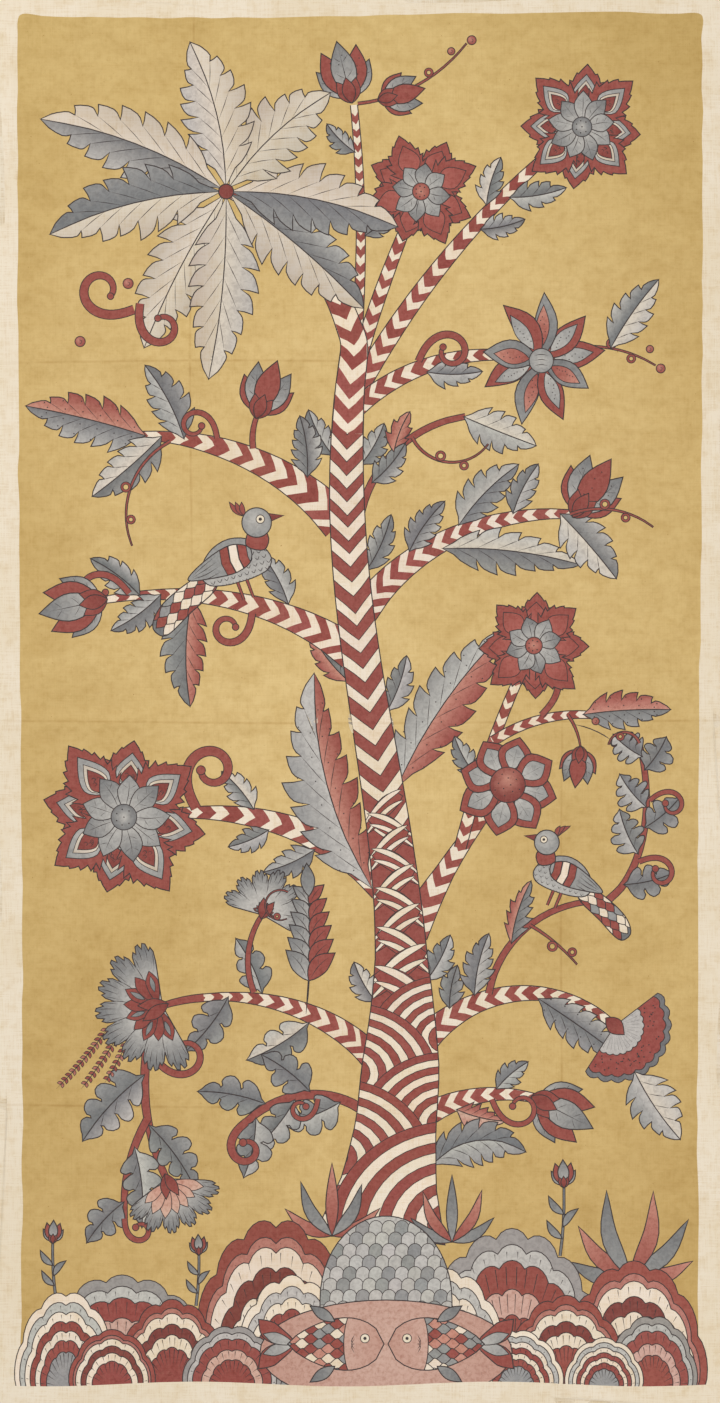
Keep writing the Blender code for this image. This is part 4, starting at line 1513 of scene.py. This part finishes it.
def back_side():
    pts, edges = loops_to_edges([RIM])
    places, tris, _ = cut(np.concatenate([pts, net(0.016)]), edges)
    mid = places[tris].mean(1)
    return places, tris[inside(RIM, mid[:, 0], mid[:, 1])]


def linear(srgb):
    c = np.clip(np.asarray(srgb, float) / 255, 0, 1)
    return np.where(c <= 0.04045, c / 12.92, ((c + 0.055) / 1.055) ** 2.4)


def colours_at(x, y, shown):
    """The painted colour at each place, given the shape that shows there."""
    out = np.empty((len(x), 3))
    out[:] = CREAM
    order = np.argsort(shown, kind="stable")
    s = shown[order]
    first = np.flatnonzero(np.r_[True, s[1:] != s[:-1]])
    for i, j in zip(first, np.r_[first[1:], len(s)]):
        if s[i] >= 0:
            k = order[i:j]
            out[k] = ITEMS[s[i]][2](x[k], y[k])
    return out


def make_cloth():
    places, tris, shown = front()
    n_front = len(places)
    tri = places[tris]
    area2 = (tri[:, 1, 0] - tri[:, 0, 0]) * (tri[:, 2, 1] - tri[:, 0, 1]) - (tri[:, 2, 0] - tri[:, 0, 0]) * (tri[:, 1, 1] - tri[:, 0, 1])
    tris = np.where((area2 > 0)[:, None], tris, tris[:, ::-1])
    back_places, back_tris = back_side()
    tri = back_places[back_tris]
    area2 = (tri[:, 1, 0] - tri[:, 0, 0]) * (tri[:, 2, 1] - tri[:, 0, 1]) - (tri[:, 2, 0] - tri[:, 0, 0]) * (tri[:, 1, 1] - tri[:, 0, 1])
    back_tris = np.where((area2 > 0)[:, None], back_tris[:, ::-1], back_tris)

    # The rim: the front's own outer edge, and the back's.
    def outer(t):
        e = np.concatenate([t[:, [0, 1]], t[:, [1, 2]], t[:, [2, 0]]])
        key = np.sort(e, 1)
        key = key[:, 0] * 10000000 + key[:, 1]
        u, i, c = np.unique(key, return_index=True, return_counts=True)
        nxt = {a: b for a, b in e[i[c == 1]].tolist()}
        start = next(iter(nxt))
        loop = [start]
        while nxt[loop[-1]] != start:
            loop.append(nxt[loop[-1]])
        return loop

    top, low = outer(tris), outer(back_tris)[::-1]
    rim = []

    def around(loop, pts):
        p = pts[loop]
        return np.arctan2(p[:, 1] / HEIGHT, p[:, 0] / WIDTH)

    a, b = around(top, places), around(low, back_places)
    i0, j0 = int(np.argmin(a)), int(np.argmin(b))
    top, low = top[i0:] + top[:i0], low[j0:] + low[:j0]
    a, b = np.unwrap(around(top, places)), np.unwrap(around(low, back_places))
    a, b = np.r_[a, a[0] + 2 * math.pi], np.r_[b, b[0] + 2 * math.pi]
    i = j = 0
    while i < len(top) or j < len(low):
        t0, l0 = top[i % len(top)], low[j % len(low)] + n_front
        if j == len(low) or (i < len(top) and a[i + 1] <= b[j + 1] + 1e-9):
            rim.append((t0, l0, top[(i + 1) % len(top)]))
            i += 1
        else:
            rim.append((t0, l0, low[(j + 1) % len(low)] + n_front))
            j += 1
    rim = np.array(rim, np.int64)

    x, y = np.r_[places[:, 0], back_places[:, 0]], np.r_[places[:, 1], back_places[:, 1]]
    z = height(x, y)
    z[:n_front] += THICK
    co = np.stack([x, y, z], 1)
    faces = np.concatenate([tris, back_tris + n_front, rim])
    n = len(faces)

    mesh = bpy.data.meshes.new("painted_cotton")
    mesh.vertices.add(len(co))
    mesh.vertices.foreach_set("co", co.astype(np.float32).ravel())
    mesh.loops.add(3 * n)
    mesh.polygons.add(n)
    mesh.loops.foreach_set("vertex_index", faces.astype(np.int32).ravel())
    mesh.polygons.foreach_set("loop_start", np.arange(0, 3 * n, 3, dtype=np.int32))
    mesh.polygons.foreach_set("loop_total", np.full(n, 3, np.int32))
    mesh.update(calc_edges=True)
    mesh.validate()

    # Colours, face corner by face corner.
    corner = faces.ravel()
    dx, dy = to_drawing(co[corner][:, :2])
    back_mid = back_places[back_tris].mean(1)
    back_shown = what_shows(*to_drawing(back_mid))
    face_shown = np.concatenate([shown, back_shown, np.full(len(rim), -1)]).astype(np.int64)
    paint = colours_at(dx, dy, np.repeat(face_shown, 3))
    m0, m1 = 3 * len(tris), 3 * (len(tris) + len(back_tris))
    through = np.array(CREAM, float) * 0.965
    paint[m0:m1] = through + (paint[m0:m1] - through) * 0.34
    colour = mesh.color_attributes.new("paint", "FLOAT_COLOR", "CORNER")
    rgba = np.ones((len(corner), 4), np.float32)
    rgba[:, :3] = linear(paint)
    colour.data.foreach_set("color", rgba.ravel())

    dyes = np.array([d for _, d, _, _ in ITEMS] + [COTTON])
    slot = dyes[face_shown]
    slot[len(tris):len(tris) + len(back_tris)] = len(DYES)
    mesh.polygons.foreach_set("material_index", slot.astype(np.int32))

    uv = mesh.uv_layers.new(name="OFBake")
    w, h = RIM[:, 0].max() * 2 + 0.002, RIM[:, 1].max() * 2 + 0.002
    uv.data.foreach_set("uv", np.stack([co[corner, 0] / w + 0.5, co[corner, 1] / h + 0.5], 1).astype(np.float32).ravel())

    # Smooth shading from the cloth's own slope, since its triangles follow the drawing and not its shape.
    e = 0.0006
    gx, gy = (height(x + e, y) - height(x - e, y)) / (2 * e), (height(x, y + e) - height(x, y - e)) / (2 * e)
    up = np.stack([-gx, -gy, np.ones_like(gx)], 1)
    up /= np.linalg.norm(up, axis=1)[:, None]
    normals = up[corner]
    normals[m0:m1] *= -1
    p = co[rim]
    side = np.cross(p[:, 1] - p[:, 0], p[:, 2] - p[:, 0])
    side /= np.maximum(np.linalg.norm(side, axis=1)[:, None], 1e-12)
    normals[m1:] = np.repeat(side, 3, 0)
    mesh.polygons.foreach_set("use_smooth", np.ones(n, bool))
    mesh.normals_split_custom_set([tuple(v) for v in normals.tolist()])
    print("cloth", len(tris), len(back_tris), len(rim), "points", len(co), flush=True)
    obj = bpy.data.objects.new("painted_cotton", mesh)
    bpy.context.scene.collection.objects.link(obj)
    return obj


# ---------------------------------------------------------------------------
# Materials.

class Web:
    """A short way to write node trees."""

    def __init__(self, name):
        self.mat = bpy.data.materials.new(name)
        self.mat.use_nodes = True
        self.tree = self.mat.node_tree
        self.shader = self.tree.nodes["Principled BSDF"]

    def node(self, kind, **given):
        n = self.tree.nodes.new(kind)
        for k, v in given.items():
            key = k.replace("_", " ") if hasattr(n, "inputs") and k.replace("_", " ") in n.inputs.keys() else k
            if key in n.inputs.keys():
                if hasattr(v, "is_output"):
                    self.tree.links.new(v, n.inputs[key])
                else:
                    n.inputs[key].default_value = v
            else:
                setattr(n, k, v)
        return n

    def link(self, a, b):
        self.tree.links.new(a, b)

    def at(self, scale=(1, 1, 1), turn=0.0, shift=(0, 0, 0)):
        c = self.node("ShaderNodeTexCoord")
        m = self.node("ShaderNodeMapping")
        self.link(c.outputs["Object"], m.inputs["Vector"])
        m.inputs["Scale"].default_value = scale
        m.inputs["Rotation"].default_value = (0, 0, turn)
        m.inputs["Location"].default_value = shift
        return m.outputs["Vector"]

    def noise(self, size, vector, detail=3.0, rough=0.55, twist=0.0):
        n = self.node("ShaderNodeTexNoise")
        n.inputs["Scale"].default_value = 1 / size
        n.inputs["Detail"].default_value = detail
        n.inputs["Roughness"].default_value = rough
        n.inputs["Distortion"].default_value = twist
        self.link(vector, n.inputs["Vector"])
        return n.outputs["Fac"]

    def spread(self, value, a, b, c=0.0, d=1.0):
        """value from a..b carried to c..d, and held there."""
        n = self.node("ShaderNodeMapRange")
        n.clamp = True
        self.link(value, n.inputs["Value"])
        for k, v in zip(("From Min", "From Max", "To Min", "To Max"), (a, b, c, d)):
            n.inputs[k].default_value = v
        return n.outputs["Result"]

    def math(self, how, a, b=0.5):
        n = self.node("ShaderNodeMath")
        n.operation = how
        for i, v in enumerate((a, b)):
            if hasattr(v, "is_output"):
                self.link(v, n.inputs[i])
            else:
                n.inputs[i].default_value = v
        return n.outputs[0]

    def mix(self, how, share, a, b):
        n = self.node("ShaderNodeMix")
        n.data_type = "RGBA"
        n.blend_type = how
        for socket, v in ((n.inputs[0], share), (n.inputs[6], a), (n.inputs[7], b)):
            if hasattr(v, "is_output"):
                self.link(v, socket)
            elif isinstance(v, (int, float)):
                socket.default_value = v
            else:
                socket.default_value = (*[float(q) for q in linear(v)], 1)
        return n.outputs[2]

    def paint(self):
        n = self.node("ShaderNodeAttribute")
        n.attribute_name = "paint"
        return n.outputs["Color"]

    def weave(self):
        """Plain weave, a thread each way, its threads of uneven thickness."""
        wide = self.at((1, 1, 1))
        out = []
        for turn, seed in ((0.0, 0.0), (math.pi / 2, 3.7)):
            n = self.node("ShaderNodeTexWave")
            n.wave_type = "BANDS"
            n.bands_direction = "X"
            n.inputs["Scale"].default_value = 1 / THREAD
            n.inputs["Distortion"].default_value = 1.4
            n.inputs["Detail"].default_value = 1.0
            n.inputs["Detail Scale"].default_value = 0.4
            self.link(self.at((1, 1, 1), turn, (seed, 0, 0)), n.inputs["Vector"])
            out.append(n.outputs["Fac"])
        return self.math("MAXIMUM", out[0], out[1])

    def slubs(self):
        """Thicker threads here and there: long thin marks both ways."""
        a = self.noise(0.0016, self.at((1, 0.045, 1)), 2.0, 0.6)
        b = self.noise(0.0016, self.at((0.045, 1, 1), 0, (0.3, 0.1, 0)), 2.0, 0.6)
        return self.math("ADD", a, b)

    def relief(self, weave, slubs, strength=0.35):
        together = self.math("ADD", self.math("MULTIPLY", weave, 0.6), self.math("MULTIPLY", slubs, 0.7))
        n = self.node("ShaderNodeBump")
        n.inputs["Strength"].default_value = strength
        n.inputs["Distance"].default_value = 0.0004
        self.link(together, n.inputs["Height"])
        self.link(n.outputs["Normal"], self.shader.inputs["Normal"])


THREAD = 0.0022


def painted_crease_shade(w):
    """Faint painted shade where the panel was folded: 0 to 1 along each fold's crest."""
    total = None
    for f in FOLDS:
        along, off = ("X", "Y") if f["runs"] == "across" else ("Y", "X")
        c = w.node("ShaderNodeTexCoord")
        s = w.node("ShaderNodeSeparateXYZ")
        w.link(c.outputs["Object"], s.inputs[0])
        wave = w.math("SINE", w.math("ADD", w.math("MULTIPLY", s.outputs[along], 5.3), 40 * f["at"]))
        d = w.math("SUBTRACT", w.math("SUBTRACT", s.outputs[off], f["at"]), w.math("MULTIPLY", wave, f["wander"]))
        line = w.spread(w.math("ABSOLUTE", d), 0.0, 0.0028, 1.0, 0.0)
        a = w.spread(s.outputs[along], f["start"], f["start"] + 0.1)
        b = w.spread(s.outputs[along], f["end"] - 0.1, f["end"], 1.0, 0.0)
        one = w.math("MULTIPLY", w.math("MULTIPLY", line, a), b)
        total = one if total is None else w.math("MAXIMUM", total, one)
    return w.math("MULTIPLY", total, w.spread(w.noise(0.03, w.at(), 3), 0.35, 0.65, 0.3, 1.0))


def bare_cotton():
    w = Web("bare_cotton")
    c = w.paint()
    c = w.mix("MULTIPLY", w.spread(w.noise(0.16, w.at(), 4), 0.42, 0.62), c, (250, 247, 240))
    c = w.mix("MULTIPLY", w.spread(w.noise(0.020, w.at(), 5, 0.65), 0.5, 0.8), c, (244, 237, 224))
    slubs = w.slubs()
    c = w.mix("MULTIPLY", w.spread(slubs, 1.0, 1.22, 0.0, 0.6), c, (240, 231, 216))
    # Painted shade: the cotton is darkened along each fold's crest.
    c = w.mix("MULTIPLY", w.math("MULTIPLY", painted_crease_shade(w), 0.35), c, (216, 196, 166))
    w.link(c, w.shader.inputs["Base Color"])
    w.link(w.spread(slubs, 0.8, 1.2, 0.93, 0.84), w.shader.inputs["Roughness"])
    w.relief(w.weave(), slubs)
    return w.mat


def ochre_dye():
    w = Web("ochre_dye")
    c = w.paint()
    # Paler in the middle, and darker towards the sides and the foot, and a little towards the top.
    c = w.mix("MULTIPLY", w.spread(w.noise(0.42, w.at((1, 0.7, 1), 0.3, (0.35, 0.1, 0)), 2, 0.5, 0.4), 0.40, 0.66), c, (243, 239, 228))
    here = w.node("ShaderNodeTexCoord")
    part = w.node("ShaderNodeSeparateXYZ")
    w.link(here.outputs["Object"], part.inputs[0])
    c = w.mix("MULTIPLY", w.spread(w.math("ABSOLUTE", part.outputs["X"]), 0.16, 0.54), c, (243, 240, 231))
    c = w.mix("MULTIPLY", w.spread(part.outputs["Y"], -0.25, -0.95), c, (245, 241, 232))
    c = w.mix("MULTIPLY", w.spread(part.outputs["Y"], 0.55, 1.1), c, (247, 246, 238))
    # Brush strokes, wide and slanting, over one another.
    for turn, size, far, tint in ((0.7, 0.060, 1.5, (248, 246, 241)), (-0.9, 0.072, 1.6, (248, 246, 242)), (2.0, 0.044, 1.5, (250, 248, 243))):
        m = w.noise(size, w.at((1, far, 1), turn, (turn, 0, 0)), 3, 0.6, 0.8)
        c = w.mix("MULTIPLY", w.spread(m, 0.42, 0.68), c, tint)
    m = w.noise(0.013, w.at((1, 1, 1)), 5, 0.7)
    c = w.mix("MULTIPLY", w.spread(m, 0.46, 0.72), c, (243, 240, 232))
    c = w.mix("SCREEN", w.spread(w.noise(0.008, w.at((1, 1, 1), 0, (2, 1, 0)), 4, 0.7), 0.56, 0.75, 0.0, 0.5), c, (36, 32, 28))
    # Small brown specks.
    specks = w.spread(w.noise(0.0035, w.at((1, 1, 1), 0, (7, 3, 0)), 2, 0.5), 0.74, 0.80)
    c = w.mix("MULTIPLY", specks, c, (206, 184, 150))
    slubs = w.slubs()
    c = w.mix("MULTIPLY", w.spread(slubs, 1.0, 1.22, 0.0, 0.30), c, (236, 226, 204))
    # Painted shade: the ochre is darkened along each fold's crest.
    c = w.mix("MULTIPLY", w.math("MULTIPLY", painted_crease_shade(w), 0.5), c, (210, 190, 150))
    w.link(c, w.shader.inputs["Base Color"])
    w.link(w.spread(m, 0.3, 0.7, 0.86, 0.94), w.shader.inputs["Roughness"])
    w.relief(w.weave(), slubs)
    return w.mat


def madder_dye():
    w = Web("madder_dye")
    c = w.paint()
    m = w.noise(0.006, w.at((1, 1, 1), 0, (1, 5, 0)), 5, 0.65, 0.5)
    c = w.mix("MULTIPLY", w.spread(m, 0.45, 0.72), c, (222, 206, 200))
    c = w.mix("SCREEN", w.spread(w.noise(0.010, w.at((1, 1, 1), 0, (4, 2, 0)), 4, 0.7), 0.50, 0.74, 0.0, 0.9), c, (58, 44, 36))
    slubs = w.slubs()
    c = w.mix("SCREEN", w.spread(slubs, 1.02, 1.24, 0.0, 0.8), c, (52, 40, 34))
    w.link(c, w.shader.inputs["Base Color"])
    w.link(w.spread(m, 0.3, 0.7, 0.84, 0.92), w.shader.inputs["Roughness"])
    w.relief(w.weave(), slubs, 0.3)
    return w.mat


def indigo_dye():
    w = Web("indigo_dye")
    c = w.paint()
    m = w.noise(0.008, w.at((1, 1, 1), 0, (9, 5, 0)), 5, 0.6, 1.0)
    c = w.mix("MULTIPLY", w.spread(m, 0.42, 0.68), c, (226, 225, 226))
    c = w.mix("SCREEN", w.spread(w.noise(0.014, w.at((1, 1, 1), 0, (14, 2, 0)), 4, 0.6, 0.6), 0.48, 0.72, 0.0, 0.9), c, (64, 58, 50))
    slubs = w.slubs()
    c = w.mix("SCREEN", w.spread(slubs, 1.02, 1.24, 0.0, 0.6), c, (40, 36, 30))
    w.link(c, w.shader.inputs["Base Color"])
    w.link(w.spread(m, 0.3, 0.7, 0.85, 0.93), w.shader.inputs["Roughness"])
    w.relief(w.weave(), slubs, 0.3)
    return w.mat


def pen_ink():
    w = Web("pen_ink")
    c = w.paint()
    m = w.noise(0.004, w.at((1, 1, 1), 0, (3, 8, 0)), 4, 0.7)
    c = w.mix("SCREEN", w.spread(m, 0.46, 0.70, 0.0, 0.8), c, (74, 62, 54))
    w.link(c, w.shader.inputs["Base Color"])
    w.link(w.spread(m, 0.3, 0.7, 0.80, 0.92), w.shader.inputs["Roughness"])
    w.relief(w.weave(), w.slubs(), 0.25)
    return w.mat


def back_face():
    w = Web("cloth_back")
    c = w.paint()
    c = w.mix("MULTIPLY", w.spread(w.noise(0.05, w.at(), 4), 0.42, 0.66), c, (236, 228, 212))
    slubs = w.slubs()
    c = w.mix("MULTIPLY", w.spread(slubs, 1.0, 1.22, 0.0, 0.8), c, (232, 220, 200))
    w.link(c, w.shader.inputs["Base Color"])
    w.link(w.spread(slubs, 0.8, 1.2, 0.95, 0.86), w.shader.inputs["Roughness"])
    w.relief(w.weave(), slubs)
    return w.mat


def floor_and_light():
    mesh = bpy.data.meshes.new("floor")
    s = 6.0
    mesh.from_pydata([(-s, -s, 0), (s, -s, 0), (s, s, 0), (-s, s, 0)], [], [(0, 1, 2, 3)])
    floor = bpy.data.objects.new("floor", mesh)
    bpy.context.scene.collection.objects.link(floor)
    floor.location.z = -0.0004
    mat = bpy.data.materials.new("pale_floor")
    mat.use_nodes = True
    shader = mat.node_tree.nodes["Principled BSDF"]
    shader.inputs["Base Color"].default_value = (0.80, 0.78, 0.75, 1)
    shader.inputs["Roughness"].default_value = 0.9
    mesh.materials.append(mat)
    floor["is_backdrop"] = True

    world = bpy.context.scene.world or bpy.data.worlds.new("World")
    bpy.context.scene.world = world
    world.use_nodes = True
    back = world.node_tree.nodes["Background"]
    back.inputs["Color"].default_value = (1.0, 0.992, 0.982, 1)
    back.inputs["Strength"].default_value = SKY
    for name, at, size, watts in (("key", (-3.2, 2.6, 3.4), 2.6, KEY), ("fill", (3.4, -1.8, 3.8), 3.0, FILL)):
        data = bpy.data.lights.new(name, "AREA")
        data.shape = "SQUARE"
        data.size = size
        data.energy = watts
        data.color = (1.0, 0.99, 0.98)
        lamp = bpy.data.objects.new(name, data)
        lamp.location = at
        lamp.rotation_mode = "QUATERNION"
        lamp.rotation_quaternion = (-mathutils.Vector(at)).to_track_quat("-Z", "Y")
        bpy.context.scene.collection.objects.link(lamp)


SKY, KEY, FILL = 0.70, 92.0, 66.0


def camera():
    data = bpy.data.cameras.new("camera")
    data.lens = 85
    data.sensor_width = 36
    data.sensor_fit = "AUTO"
    data.dof.use_dof = False
    cam = bpy.data.objects.new("camera", data)
    bpy.context.scene.collection.objects.link(cam)
    cam.location = (0, 0, FRAME_HEIGHT / 2 / (18 / 85) + 0.0012)
    cam.rotation_euler = (0, 0, 0)
    data.clip_start, data.clip_end = 0.05, 60
    bpy.context.scene.camera = cam


FRAME_HEIGHT = 1403 * UNIT

cloth = make_cloth()
for make in (bare_cotton, ochre_dye, madder_dye, indigo_dye, pen_ink, back_face):
    cloth.data.materials.append(make())
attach(cloth, "root")
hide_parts("painted_cloth")
floor_and_light()
camera()
bpy.context.scene.view_settings.view_transform = "Standard"

{"cad": [list(p) for p in CAD_BOX], "shown": [list(p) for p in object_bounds()]}
